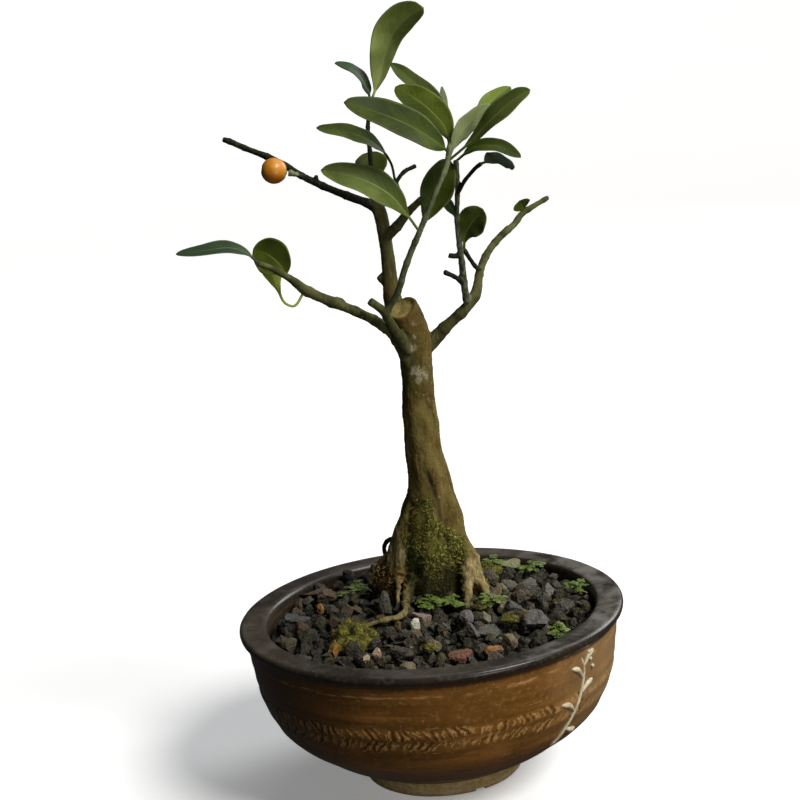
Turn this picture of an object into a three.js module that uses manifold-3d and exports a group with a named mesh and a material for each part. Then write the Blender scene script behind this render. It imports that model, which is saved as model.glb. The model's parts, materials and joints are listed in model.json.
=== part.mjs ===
// A Hong Kong kumquat grown as a small bonsai in a round stoneware bowl.
// Millimetres, +Z up. The origin is the centre of the bowl's flat foot, and +X is the viewer's right.
import * as THREE from 'three';
import { mergeVertices } from 'three/addons/utils/BufferGeometryUtils.js';
import Module from 'manifold-3d';

const wasm = await Module();
wasm.setup();

// Driving sizes of the bowl
const RIM_R = 85;
const RIM_TOP = 75;
const MOUTH_R = 72.8;
const FOOT_R = 35.6;
const FLOOR_Z = 12;
const BOWL_SIDES = 42;
const DRAIN_COUNT = 3;
const DRAIN_R = 4.5;
const DRAIN_RING_R = 17;
const GROOVE_WIDTH = 5;
const GROOVE_DEPTH = 1.6;
const FIRST_DRAIN_ANGLE = -65;

// Driving sizes of what fills the bowl
const GAP = 0.3;
const HOLE_GAP = 0.35;
const SCREEN_SIDE = 18;
const SCREEN_THICK = 1;
const SCREEN_HOLES = 3;
const SCREEN_HOLE = 3.4;
const SOIL_TOP = 58;
const GRIT_EDGE_Z = 69;
const MOUND_RISE = 6;
const MOUND_SPREAD = 36;
const GRIT_R = MOUTH_R - 0.6;
const BED_SIDES = 14;
const BED_DEPTH = 1.5;
const STONE_PITCH = 13.4;
const STONE_HALF = 6.5;
const STONE_DRIFT = 1.7;
const STONE_TIP = 0.55;
const STONE_LIFT = 0.6;
const STONE_SEED = 41;
const TRUNK_CLEAR = 15;
const MOSS_AT = [-33, -31, 72];
const MOSS_HALF = [7, 8.5, 5];
const WEED_STEM_R = 0.9;
const WEED_DEPTH = 6;
const WEED_STEM_TOP = 2.2;

// Driving sizes of the tree
const TRUNK_FOOT = [2, 20];
const TRUNK_SIDES = 12;
const ROOT_SIDES = 7;
const TWIG_SIDES = 6;
const BLADE_THICK = 0.7;
const STALK_HALF = 0.6;
const CUP = 0.16;
const BROAD = [-1, -0.5, 0, 0.5, 1];
const SLIM = [-1, 0, 1];
const FLAT = [-1, 1];
const FRUIT_R = 5.8;
const FRUIT_AT = [-51.4, 36.5, 269.5];

const turn = Math.PI * 2;

// Solids from closed geometries, and back again
function solidOf(geometry) {
  const plain = geometry.clone();
  plain.deleteAttribute('normal');
  plain.deleteAttribute('uv');
  const merged = mergeVertices(plain, 1e-4);
  const mesh = new wasm.Mesh({
    numProp: 3,
    vertProperties: new Float32Array(merged.attributes.position.array),
    triVerts: new Uint32Array(merged.index.array),
  });
  return new wasm.Manifold(mesh);
}

function geometryOf(solid) {
  const mesh = solid.getMesh();
  const geometry = new THREE.BufferGeometry();
  geometry.setAttribute('position', new THREE.BufferAttribute(new Float32Array(mesh.vertProperties), 3));
  geometry.setIndex(new THREE.BufferAttribute(new Uint32Array(mesh.triVerts), 1));
  return geometry;
}

function joined(solids) {
  return solids.reduce((whole, piece) => whole.add(piece));
}

// A cut can leave a scrap beside the piece: the largest body is kept
function largest(solid) {
  const bodies = solid.decompose();
  return bodies.reduce((best, body) => (body.volume() > best.volume() ? body : best));
}

// A turned form from a profile of [radius, height] that starts and ends on the axis
function turned(profile, sides) {
  const points = profile.map(([r, z]) => new THREE.Vector2(r, z));
  return new THREE.LatheGeometry(points, sides).rotateX(Math.PI / 2);
}

function block(x, y, z, at, angle = 0) {
  const geometry = new THREE.BoxGeometry(x, y, z);
  geometry.translate(...at);
  return geometry.rotateZ(angle);
}

function rod(r, z0, z1, at, sides) {
  const geometry = new THREE.CylinderGeometry(r, r, z1 - z0, sides).rotateX(Math.PI / 2);
  return geometry.translate(at[0], at[1], (z0 + z1) / 2);
}

// Random draws from one seed, the same on every run
function seeded(seed) {
  let state = seed;
  return () => {
    state = (state * 1664525 + 1013904223) % 4294967296;
    return state / 4294967296;
  };
}

const between = (draw, low, high) => low + (high - low) * draw();

// A closed mesh from rings of points, with a flat cap on each end
function skin(rings) {
  const count = rings[0].length;
  const positions = rings.flat().flatMap((p) => [p.x, p.y, p.z]);
  const index = [];
  for (let i = 0; i + 1 < rings.length; i += 1) {
    for (let j = 0; j < count; j += 1) {
      const a = i * count + j;
      const b = i * count + ((j + 1) % count);
      index.push(a, b, b + count, a, b + count, a + count);
    }
  }
  const last = (rings.length - 1) * count;
  for (let j = 1; j + 1 < count; j += 1) {
    index.push(0, j + 1, j, last, last + j, last + j + 1);
  }
  const geometry = new THREE.BufferGeometry();
  geometry.setAttribute('position', new THREE.Float32BufferAttribute(positions, 3));
  geometry.setIndex(index);
  return geometry;
}

// A round limb through rows of [x, y, z, radius]; grow makes the hole that it stands in
function limb(rows, sides, grow = 0) {
  const curve = new THREE.CatmullRomCurve3(rows.map(([x, y, z]) => new THREE.Vector3(x, y, z)));
  let side = new THREE.Vector3(0.2, -1, 0.1);
  const rings = rows.map(([, , , radius], i) => {
    const t = i / (rows.length - 1);
    const along = curve.getTangent(t);
    side = side.clone().addScaledVector(along, -side.dot(along)).normalize();
    const across = along.clone().cross(side);
    const centre = curve.getPoint(t);
    return Array.from({ length: sides }, (_, j) => {
      const angle = (j / sides) * turn;
      return centre.clone()
        .addScaledVector(side, (radius + grow) * Math.cos(angle))
        .addScaledVector(across, (radius + grow) * Math.sin(angle));
    });
  });
  return skin(rings);
}

// The bowl: thrown on a wheel, with an overhanging rolled rim and a flat foot
const bowlProfile = [
  [0, 0], [FOOT_R - 0.6, 0], [FOOT_R, 0.8], [36.8, 5], [37.9, 9],
  [39.8, 9.2], [41.6, 10.2], [52.2, 15], [61, 21], [70.7, 29], [75.5, 37], [78.6, 45],
  [80.1, 53], [81.2, 61], [82.1, 68], [82.6, 70], [84, 71.2], [RIM_R, 72.8],
  [84.8, 74.2], [83.6, RIM_TOP], [74.2, RIM_TOP], [MOUTH_R, 73.6],
  [MOUTH_R, 57], [71, 46], [67.6, 37], [61.5, 28], [52, 20], [42, 14.5], [33, FLOOR_Z], [0, FLOOR_Z],
];

const drainAngles = Array.from(
  { length: DRAIN_COUNT },
  (_, i) => (FIRST_DRAIN_ANGLE / 360 + i / DRAIN_COUNT) * turn,
);

function drainAt(angle) {
  return [DRAIN_RING_R * Math.cos(angle), DRAIN_RING_R * Math.sin(angle)];
}

function bowlSolid() {
  let bowl = solidOf(turned(bowlProfile, BOWL_SIDES));
  const reach = FOOT_R + 6 - DRAIN_RING_R;
  for (const angle of drainAngles) {
    bowl = bowl.subtract(solidOf(rod(DRAIN_R, -1, FLOOR_Z + 1, drainAt(angle), 12)));
    const middle = [DRAIN_RING_R + reach / 2, 0, 0];
    bowl = bowl.subtract(solidOf(block(reach, GROOVE_WIDTH, GROOVE_DEPTH * 2, middle, angle)));
  }
  return bowl;
}

// A square of plastic mesh lies over each drain hole and keeps the soil in
function screenSolid(angle) {
  const middle = [DRAIN_RING_R, 0, FLOOR_Z + GAP + SCREEN_THICK / 2];
  let screen = solidOf(block(SCREEN_SIDE, SCREEN_SIDE, SCREEN_THICK, middle, angle));
  const pitch = SCREEN_SIDE / (SCREEN_HOLES + 0.5);
  for (let i = 0; i < SCREEN_HOLES; i += 1) {
    for (let j = 0; j < SCREEN_HOLES; j += 1) {
      const x = (i - (SCREEN_HOLES - 1) / 2) * pitch;
      const y = (j - (SCREEN_HOLES - 1) / 2) * pitch;
      const at = [middle[0] + x, y, middle[2]];
      screen = screen.subtract(solidOf(block(SCREEN_HOLE, SCREEN_HOLE, SCREEN_THICK * 2, at, angle)));
    }
  }
  return screen;
}

// The trunk with its buttresses and surface roots: rows of [x, y, z, radius]
const trunk = [
  [2, 22, 44, 9], [2, 22, 56, 14], [2, 22, 70, 16.5], [2.5, 22, 82, 16], [3, 21.5, 92, 15.3],
  [3.5, 21, 102, 14.2], [4.5, 20, 112, 12.6], [5.3, 19, 120, 11], [4.8, 18, 128, 9.6],
  [3.5, 17, 137, 8.6], [3, 16.5, 147, 8], [3, 16, 156, 7.7], [3, 15.5, 165, 7.1],
  [3.5, 15, 175, 6.8], [3.5, 15, 184, 7.4], [3.5, 14, 192, 7.4], [2.5, 11.5, 200, 6.9],
  [0.8, 9, 206, 6.1], [-0.8, 7.2, 210, 4.6], [-1.6, 6.4, 212, 3],
];

const buttresses = [
  [[0, 18, 122, 5], [-3, 17, 108, 6.5], [-8, 17, 94, 7.5], [-12, 17, 82, 8], [-15, 17, 70, 8],
    [-16, 17, 60, 6]],
  [[4, 12, 112, 5], [3, 11, 97, 6.5], [1.5, 10.5, 85, 7], [0.5, 10.5, 74, 7], [0, 11, 62, 6]],
  [[9, 17, 124, 5], [12, 16, 110, 6.5], [15, 15, 98, 7], [19, 15, 88, 6.5], [21, 14, 80, 5],
    [22, 12, 70, 4.5]],
  [[5, 26, 118, 6], [6, 30, 102, 7.5], [7, 34, 88, 8], [8, 36, 76, 8], [8, 36, 62, 6]],
  [[-2, 28, 98, 6], [-8, 33, 86, 6.5], [-12, 37, 76, 5], [-14, 40, 66, 4]],
  [[-10, 21, 94, 4], [-16, 21, 88, 6.5], [-18, 21, 81, 7.5], [-16, 21, 70, 6]],
];

const roots = [
  [[17, 14, 92, 4.5], [17, 8, 84, 3.4], [17, 4, 78, 2.8], [17.5, 2, 70, 2.5]],
  [[20, 14, 90, 4.5], [22, 11, 83, 3.2], [24.5, 8, 78, 2.6], [27, 5, 71, 2.2]],
  [[-6, 9, 87, 4], [-9.5, 6, 80, 3], [-10.5, 0, 76.5, 2.4], [-10.5, -8, 74.5, 2.2],
    [-13.5, -14, 73, 1.8], [-20, -13, 72, 1.6], [-25, -11, 69, 1.3]],
  [[-12, 12, 88, 1.6], [-13.5, 7, 83, 1.3], [-14.2, 5, 79, 1.2], [-13.8, 3, 75, 1.3], [-13, 3, 69, 1.2]],
  [[-8, 30, 95, 1.5], [-12.5, 32.5, 97.5, 1.3], [-16.5, 34, 96.8, 1.2], [-18.8, 34.5, 93.5, 1.2],
    [-18, 33, 89, 1.3], [-14, 30, 84, 1.5]],
];

// The branches and shoots: rows of [x, y, z, radius]
const branches = {
  fruit_leader: [[1, 16, 184, 4.5], [-1.5, 20, 191, 4.4], [-4, 25, 200, 4.3], [-6, 28, 210, 4.1],
    [-6.5, 30, 220, 3.4], [-6, 31, 231, 3], [-5.5, 32, 242, 3.1], [-7, 33, 249, 3.1], [-9, 33.5, 253, 2.4]],
  fruit_branch: [[-6, 33, 248, 2.9], [-12, 34, 252, 2.3], [-21, 36, 256, 2], [-31, 38, 261, 1.8],
    [-40, 41, 266, 1.7], [-47, 43.5, 271, 1.7], [-54, 46, 275, 1.6], [-64, 50, 279.5, 1.5],
    [-71, 53, 283, 1.6], [-74, 54, 284, 1.4]],
  fruit_stalk: [[-41.5, 41.5, 266.8, 1.1], [-42.2, 38.8, 266.7, 1.1], [-43.4, 37.1, 267.5, 1.3],
    [-45.2, 36.9, 268, 1.8]],
  spur: [[-33, 38.5, 262, 1], [-33.2, 38.5, 266, 0.9]],
  knot: [[-6, 30, 216, 2.4], [-8, 29.5, 218, 2.3], [-9.6, 29, 220, 1.8]],
  top_shoot: [[-8, 33, 250, 1.6], [-8.5, 34, 262, 1.3], [-8.5, 36, 272.5, 1.2], [-8.5, 38, 284.5, 1.1],
    [-6.5, 39, 293, 1.1], [-5, 39.5, 297.5, 1.3]],
  inner_branch: [[-5.5, 31, 236, 2.8], [0.5, 27, 241.5, 2.4], [5.5, 22, 247.5, 2], [10.5, 18, 252, 1.8],
    [14, 15, 255, 1.5]],
  inner_shoot: [[4, 23.5, 245.5, 1.4], [3, 24, 254, 1.2], [1.2, 25.5, 262, 1.3]],
  inner_stub: [[1.4, 25.3, 260.5, 1.2], [5.5, 29, 264.5, 1.1], [11, 32, 266.5, 1.2]],
  left_branch: [[4, 12, 180, 3.6], [1, 8, 185, 3.4], [-4, 5, 194.5, 3], [-11, 0, 202.5, 2.6],
    [-22.5, -8, 211.5, 2.2], [-30.5, -14, 217.5, 2.4], [-40, -21, 224.5, 2.4], [-44.5, -25, 229.5, 1.7],
    [-52, -31, 236, 1.4], [-57, -35, 239, 1.3]],
  left_bud: [[-24, -9, 213, 1.2], [-25.5, -11, 217, 1.1], [-28, -12.5, 218.5, 0.9]],
  front_stub: [[4, 8, 184, 4], [2.5, 2, 190, 3.4], [-2.5, -3, 197.5, 2.9], [-7, -8, 207, 2.6],
    [-10.5, -11, 213, 2.3], [-14, -13, 216.5, 2.1]],
  green_shoot: [[-6, -7, 206, 1.8], [-4, -11, 212, 1.6], [-1.5, -14, 218.5, 1.6], [1, -18, 227, 1.6],
    [5.5, -22, 237, 1.5], [9.5, -25.5, 245, 1.4], [14.5, -28, 255, 1.3], [19, -29, 264, 1.2],
    [22.5, -29, 271, 1.4], [25.4, -28.2, 282, 1.4]],
  right_branch: [[4, 15, 180, 4.5], [7, 15, 187, 3.5], [13, 14, 193, 3.1], [19.5, 12, 199, 2.8],
    [26, 10, 204.5, 2.7], [31.5, 10, 211, 2.5], [34, 13, 219, 2], [37, 17, 225.2, 1.8], [41.2, 21, 230, 1.7],
    [47, 25, 234.6, 1.8], [51.5, 29, 237, 1.6], [55.5, 32, 241, 1.5], [61, 36, 243.5, 1.4],
    [68.5, 40, 246.5, 1.2]],
  middle_shoot: [[28, 10, 206, 2.1], [27, 5, 214, 1.8], [26.5, 0, 224.5, 1.6], [26, -5, 233.5, 1.4],
    [25.5, -9, 245.5, 1.3], [26.5, -12, 257, 1.2], [27, -14, 266, 1.2], [27, -14.5, 271.5, 1.3]],
  middle_stub_high: [[26, -3.5, 230, 1.2], [21, -6, 231, 1.4]],
  middle_stub_low: [[26.5, 3, 217, 1.2], [23, -1, 221, 1.1], [18.5, -4, 224, 1.4]],
  side_shoot: [[26.8, -12.5, 258, 1.2], [30, -16, 263, 1], [34.5, -20, 268, 1], [37, -23, 270, 1.1]],
  back_shoot: [[34.5, 13, 220, 1.2], [31, 9, 225.5, 1.1], [28, 5, 231.5, 1.2]],
};

// Everything of wood that grew as one piece; grow gives the space that it needs in the soil
function woodSolid(grow) {
  const pieces = [solidOf(limb(trunk, TRUNK_SIDES, grow))];
  for (const rows of buttresses) pieces.push(solidOf(limb(rows, ROOT_SIDES, grow)));
  for (const rows of roots) pieces.push(solidOf(limb(rows, ROOT_SIDES, grow)));
  for (const rows of Object.values(branches)) pieces.push(solidOf(limb(rows, TWIG_SIDES, grow)));
  return joined(pieces);
}

// Leaves: rib runs from inside the twig to the tip, face is where the upper side looks,
// widest is how far along the blade it is broadest, stalk is the share that is leaf stalk,
// and a lower blunt gives a rounder tip
const leaves = {
  leaf_top: {
    rib: [[-5, 39.5, 297.3], [-2.6, 38, 307], [1, 35, 317], [6, 30, 326.5], [11, 23, 331.3], [18.5, 14, 331]],
    width: 14, face: [0, -1, 0.25], widest: 0.62, stalk: 0.08, blunt: 0.6, stations: 9,
  },
  leaf_top_left: {
    rib: [[-6, 39.2, 294.5], [-7.4, 38.8, 301.8], [-10, 36.5, 307.2], [-14.3, 33, 311], [-20, 30, 313.6]],
    width: 9, face: [0.4, -0.6, 0.7], widest: 0.5, stalk: 0.16,
  },
  leaf_crown_left: {
    rib: [[24.2, -28.6, 275.5], [19.5, -32, 280.5], [9, -37, 288.5], [-3, -42, 295], [-16, -45, 300.5]],
    width: 16, face: [0.15, -0.75, 0.65], widest: 0.5, stalk: 0.1,
  },
  leaf_crown_mid: {
    rib: [[24.4, -28.5, 276.6], [20.4, -24, 285], [13.3, -18, 292.4], [5, -11, 300]],
    width: 13.5, face: [-0.2, -0.6, 0.75], widest: 0.5, stalk: 0.12,
  },
  leaf_crown_back: {
    rib: [[25.1, -28.3, 280.4], [23.4, -6, 290.4], [17, 4, 299.2], [9.5, 10, 306.5], [4, 14, 312]],
    width: 11, face: [0.35, -0.5, 0.75], widest: 0.5, stalk: 0.12,
  },
  leaf_crown_slim: {
    rib: [[24.9, -28.4, 278.9], [26.4, -9, 282.5], [24.6, 8, 292], [24.9, 18, 300]],
    width: 6.5, face: [0.85, -0.45, 0.3], widest: 0.6, stalk: 0.2,
  },
  leaf_crown_pale: {
    rib: [[23.8, -28.7, 274], [28.5, -29, 282], [34.5, -27, 287.5], [42.5, -23, 293]],
    width: 10, face: [-0.3, 0.8, 0.5], widest: 0.5, stalk: 0.12,
  },
  leaf_crown_right: {
    rib: [[23.4, -28.8, 272.6], [33, -33, 280], [42.5, -37, 288.8], [50.5, -39, 294.8], [57.5, -40, 298.6]],
    width: 11.5, face: [-0.35, -0.6, 0.7], widest: 0.55, stalk: 0.15,
  },
  leaf_crown_far: {
    rib: [[25.4, -28.2, 282.4], [37, -13, 285.6], [44, -1, 293], [53, 8, 298]],
    width: 9, face: [-0.2, -0.7, 0.7], widest: 0.6, stalk: 0.2,
  },
  leaf_middle_right: {
    rib: [[27, -14.5, 271], [35, -16.5, 276], [44, -20, 276], [53, -24, 271]],
    width: 9, face: [0.1, -0.55, 0.83], widest: 0.5, stalk: 0.12,
  },
  leaf_side_under: {
    rib: [[36.5, -22.6, 269.7], [41, -26, 271], [45, -30, 270], [49.5, -33, 268.5]],
    width: 10, face: [0.1, 0.65, 0.75], widest: 0.5, stalk: 0.14,
  },
  leaf_shoot_back: {
    rib: [[9.5, -25.5, 245], [15.5, -19.5, 255], [19.5, -16.5, 263], [23.5, -12, 272]],
    width: 14, face: [-0.1, -0.95, 0.2], widest: 0.52, stalk: 0.1,
  },
  leaf_shoot_left: {
    rib: [[9.3, -25.4, 244.6], [4.6, -30, 253], [-1.5, -34, 261.8], [-13, -36, 269.5], [-28, -36, 274.2]],
    width: 13.5, face: [0.1, -0.8, 0.6], widest: 0.5, stalk: 0.16,
  },
  leaf_inner_low: {
    rib: [[-8.5, 33.6, 259.5], [-8, 39, 264], [-8.5, 43, 268.5], [-9.5, 46, 273]],
    width: 14.5, face: [0.1, -0.85, 0.5], widest: 0.62, stalk: 0.14, blunt: 0.5,
  },
  leaf_inner_left: {
    rib: [[1.3, 25.4, 261.3], [0, 21, 270], [-5, 17, 278], [-15, 14, 284], [-30, 12, 288]],
    width: 10, face: [0.1, -0.6, 0.8], widest: 0.55, stalk: 0.36,
  },
  leaf_left_tip: {
    rib: [[-56.8, -34.8, 238.9], [-61, -38, 244], [-67, -41, 247], [-77, -45, 247.3], [-88, -48, 247.3]],
    width: 9, face: [0, -0.5, 0.87], widest: 0.5, stalk: 0.12,
  },
  leaf_left_round: {
    rib: [[-46, -26.2, 230.8], [-48.8, -25, 236.2], [-53, -23, 240.2], [-59.5, -20, 243.2]],
    width: 15.5, face: [-0.3, -0.9, 0.3], widest: 0.55, stalk: 0.08, blunt: 0.6,
  },
  leaf_left_bright: {
    rib: [[-40, -21, 224.5], [-44.5, -23, 219], [-49, -22, 222], [-51.5, -21, 227], [-53, -20, 232]],
    width: 6.5, face: [0.3, -0.95, 0], widest: 0.6, stalk: 0.4,
  },
  leaf_right_scrap: {
    rib: [[55.6, 32, 240.9], [56.7, 29.5, 244], [57.8, 28.5, 247.5]],
    width: 6, face: [0, -1, 0.2], widest: 0.65, stalk: 0.2,
  },
  leaf_middle_small: {
    rib: [[25.5, -9, 246], [23, -12, 252], [19.5, -14, 256.5]],
    width: 5, face: [0.4, -0.85, 0.3], widest: 0.55, stalk: 0.15,
  },
  leaf_middle_broad: {
    rib: [[28, 5, 231.2], [29, 3.5, 238], [32, 1, 243], [37, -2, 249]],
    width: 13, face: [-0.2, -0.95, 0.25], widest: 0.66, stalk: 0.12, blunt: 0.6,
  },
};

// A blade with its stalk: top and under side are split into triangles alike
function blade(form) {
  const { rib, width, face, widest, stalk, blunt = 0.8, stations = 7 } = form;
  const columns = form.columns ?? (width < 10.5 ? SLIM : BROAD);
  const curve = new THREE.CatmullRomCurve3(rib.map((p) => new THREE.Vector3(...p)));
  const up = new THREE.Vector3(...face);
  const bend = Math.log(0.5) / Math.log(widest);
  const rings = [];
  for (let i = 0; i <= stations; i += 1) {
    const t = i === 0 ? 0 : stalk + ((1 - stalk) * (i - 1)) / (stations - 1);
    const u = Math.max(0, (t - stalk) / (1 - stalk));
    const swell = Math.max(0, Math.sin(Math.PI * u ** bend)) ** blunt;
    const half = Math.max(STALK_HALF, (width / 2) * swell);
    const depth = THREE.MathUtils.lerp(STALK_HALF * 2, BLADE_THICK, Math.min(1, u * 5)) / 2;
    const along = curve.getTangent(t);
    const normal = up.clone().addScaledVector(along, -up.dot(along)).normalize();
    const across = along.clone().cross(normal);
    const middle = curve.getPoint(t);
    const top = columns.map((s) => middle.clone()
      .addScaledVector(across, s * half)
      .addScaledVector(normal, CUP * half * s * s + depth));
    const under = columns.map((s) => middle.clone()
      .addScaledVector(across, s * half)
      .addScaledVector(normal, CUP * half * s * s - depth));
    rings.push({ top, under });
  }
  return bladeSkin(rings, columns.length);
}

function bladeSkin(rings, columns) {
  const positions = [];
  const index = [];
  for (const { top, under } of rings) {
    for (const p of [...top, ...under]) positions.push(p.x, p.y, p.z);
  }
  const width = columns * 2;
  const quad = (a, b, c, d) => index.push(a, b, c, a, c, d);
  const topAt = (i, j) => i * width + j;
  const underAt = (i, j) => i * width + columns + j;
  for (let i = 0; i + 1 < rings.length; i += 1) {
    for (let j = 0; j + 1 < columns; j += 1) {
      quad(topAt(i, j), topAt(i, j + 1), topAt(i + 1, j + 1), topAt(i + 1, j));
      index.push(underAt(i, j), underAt(i + 1, j + 1), underAt(i, j + 1));
      index.push(underAt(i, j), underAt(i + 1, j), underAt(i + 1, j + 1));
    }
    quad(topAt(i, 0), topAt(i + 1, 0), underAt(i + 1, 0), underAt(i, 0));
    const far = columns - 1;
    quad(topAt(i + 1, far), topAt(i, far), underAt(i, far), underAt(i + 1, far));
  }
  const last = rings.length - 1;
  for (let j = 0; j + 1 < columns; j += 1) {
    quad(topAt(0, j + 1), topAt(0, j), underAt(0, j), underAt(0, j + 1));
    quad(topAt(last, j), topAt(last, j + 1), underAt(last, j + 1), underAt(last, j));
  }
  const geometry = new THREE.BufferGeometry();
  geometry.setAttribute('position', new THREE.Float32BufferAttribute(positions, 3));
  geometry.setIndex(index);
  return geometry;
}

// The grit surface rises towards the trunk
function groundAt(x, y) {
  const far = Math.hypot(x - TRUNK_FOOT[0], y - TRUNK_FOOT[1]) / MOUND_SPREAD;
  return GRIT_EDGE_Z + MOUND_RISE * Math.exp(-far * far);
}

// Small green weeds: place, leaflet length, leaflet count
const weeds = {
  weed_left: { at: [-34, 32], reach: 6, count: 6 },
  weed_front_left: { at: [0.5, -3], reach: 5, count: 5 },
  weed_front_mid: { at: [10.5, -4.5], reach: 4.5, count: 5 },
  weed_front_right: { at: [27, -4], reach: 5.5, count: 6 },
  weed_back_right: { at: [31, 55], reach: 5, count: 5 },
  weed_right: { at: [49, 44], reach: 4, count: 4 },
  weed_rim_right: { at: [66.5, 11], reach: 3, count: 3 },
  weed_rim_front: { at: [52, -42], reach: 3, count: 3 },
};

function weedSolid({ at: [x, y], reach, count }) {
  const ground = groundAt(x, y);
  const pieces = [solidOf(rod(WEED_STEM_R, ground - WEED_DEPTH, ground + WEED_STEM_TOP, [x, y], 5))];
  for (let i = 0; i < count; i += 1) {
    const angle = (i / count) * turn + x;
    const [c, s] = [Math.cos(angle), Math.sin(angle)];
    const rise = i % 2 ? 2.6 : 1.2;
    const rib = [
      [x + c * 0.3, y + s * 0.3, ground + 1.4],
      [x + c * reach * 0.6, y + s * reach * 0.6, ground + 1.6 + rise],
      [x + c * reach, y + s * reach, ground + 1.2 + rise],
    ];
    pieces.push(solidOf(blade({
      rib, width: reach * 0.62, face: [0, 0, 1], widest: 0.6, stalk: 0.2, stations: 2, columns: FLAT,
    })));
  }
  return joined(pieces);
}

// Stones that catch the eye: place, half sizes, turn about the upright
const chosenStones = [
  { at: [-18.5, 2, 76], half: [3, 3, 6], spin: 0.3 },
  { at: [14.5, -19, 73], half: [3, 8, 3], spin: 0.2 },
  { at: [17, -38, 71.5], half: [2.6, 8, 3], spin: 0.25 },
  { at: [-7, -27, 73], half: [2.4, 2.4, 3], spin: 0.7 },
  { at: [-42.5, -36, 71], half: [3.2, 3, 3.4], spin: 0.4 },
  { at: [-50, 16, 71], half: [3.4, 3, 3.2], spin: 1.1 },
  { at: [25.7, -55, 71], half: [5, 3, 3], spin: 0.1 },
  { at: [11, -58, 71.5], half: [5.5, 4, 3.6], spin: 0.5 },
  { at: [-23.7, -50, 72], half: [2.4, 2.2, 2.6], spin: 0.2 },
  { at: [-4, -15, 74], half: [4.6, 3.4, 3], spin: 2.8 },
  { at: [45, -29, 72], half: [5, 6.5, 5], spin: 0.9 },
  { at: [23.5, -30, 72], half: [8, 5.5, 4], spin: 0.3 },
  { at: [40, 38, 72.5], half: [6, 4, 3.2], spin: 0.1 },
  { at: [-61, 2, 71], half: [6.5, 5.5, 4.5], spin: 0.6 },
  { at: [-14, -52, 71], half: [4.5, 4.5, 4], spin: 0.2 },
];

// An angular lump of lava: eight drawn corners, turned and tipped
function stone(at, half, spin, tip, draw) {
  const geometry = new THREE.BoxGeometry(2, 2, 2);
  geometry.deleteAttribute('normal');
  geometry.deleteAttribute('uv');
  const lump = mergeVertices(geometry, 1e-4);
  const position = lump.attributes.position;
  for (let i = 0; i < position.count; i += 1) {
    const corner = [position.getX(i), position.getY(i), position.getZ(i)];
    position.setXYZ(i, ...corner.map((c, axis) => c * half[axis] * between(draw, 0.62, 1.04)));
  }
  return lump.rotateX(tip[0]).rotateY(tip[1]).rotateZ(spin).translate(...at);
}

// A stone keeps away from the plants, the chosen stones, the trunk and the moss
function clearOf(x, y, room) {
  const farFrom = (at, distance) => Math.hypot(x - at[0], y - at[1]) > distance;
  const plants = Object.values(weeds).every(({ at, reach }) => farFrom(at, room * 0.9 + reach));
  const stones = chosenStones.every(({ at, half }) => farFrom(at, room * 0.4 + half[1]));
  return plants && stones && farFrom(TRUNK_FOOT, TRUNK_CLEAR) && farFrom(MOSS_AT, room * 0.3 + MOSS_HALF[0]);
}

function stonePieces() {
  const draw = seeded(STONE_SEED);
  const pieces = [];
  for (let ring = GRIT_R - 5; ring > 0; ring -= STONE_PITCH) {
    const count = Math.round((turn * ring) / STONE_PITCH);
    for (let i = 0; i < count; i += 1) {
      const angle = (i / count) * turn + between(draw, 0, 0.09);
      const r = ring + between(draw, -STONE_DRIFT, STONE_DRIFT);
      const size = STONE_HALF * between(draw, 0.78, 1.23);
      const half = [between(draw, 0.8, 1.2), between(draw, 0.8, 1.2), between(draw, 0.6, 0.9)];
      const halfSize = half.map((h) => h * size);
      const spin = between(draw, 0, turn);
      const tip = [between(draw, -STONE_TIP, STONE_TIP), between(draw, -STONE_TIP, STONE_TIP)];
      const [x, y] = [r * Math.cos(angle), r * Math.sin(angle)];
      const lump = stone([x, y, groundAt(x, y) + STONE_LIFT], halfSize, spin, tip, draw);
      if (clearOf(x, y, size)) pieces.push(solidOf(lump));
    }
  }
  for (const { at, half, spin } of chosenStones) {
    pieces.push(solidOf(stone(at, half, spin, [0.1, -0.1], draw)));
  }
  return pieces;
}

// The bed that the stones sit in: a low cone that peaks at the trunk
function bedSolid() {
  const ring = (z) => Array.from({ length: BED_SIDES }, (_, i) => {
    const angle = (i / BED_SIDES) * turn;
    return new THREE.Vector3((GRIT_R + 3) * Math.cos(angle), (GRIT_R + 3) * Math.sin(angle), z);
  });
  const peak = ring(GRIT_EDGE_Z + MOUND_RISE - 1).map((p) => new THREE.Vector3(
    TRUNK_FOOT[0] + p.x * 0.12,
    TRUNK_FOOT[1] + p.y * 0.12,
    p.z,
  ));
  return solidOf(skin([ring(SOIL_TOP + GAP), ring(GRIT_EDGE_Z - BED_DEPTH), peak]));
}

function gritSolid(woodHole) {
  const [low, high] = [SOIL_TOP + GAP, RIM_TOP + STONE_HALF * 2];
  const room = solidOf(turned([[0, low], [GRIT_R, low], [GRIT_R, high], [0, high]], BOWL_SIDES));
  let grit = joined([bedSolid(), ...stonePieces()]).intersect(room).subtract(woodHole);
  grit = grit.subtract(solidOf(mossLump(HOLE_GAP)));
  for (const { at: [x, y] } of Object.values(weeds)) {
    const ground = groundAt(x, y);
    const hole = rod(WEED_STEM_R + HOLE_GAP, ground - WEED_DEPTH - GAP, ground + STONE_HALF * 2, [x, y], 6);
    grit = grit.subtract(solidOf(hole));
  }
  return largest(grit);
}

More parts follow.
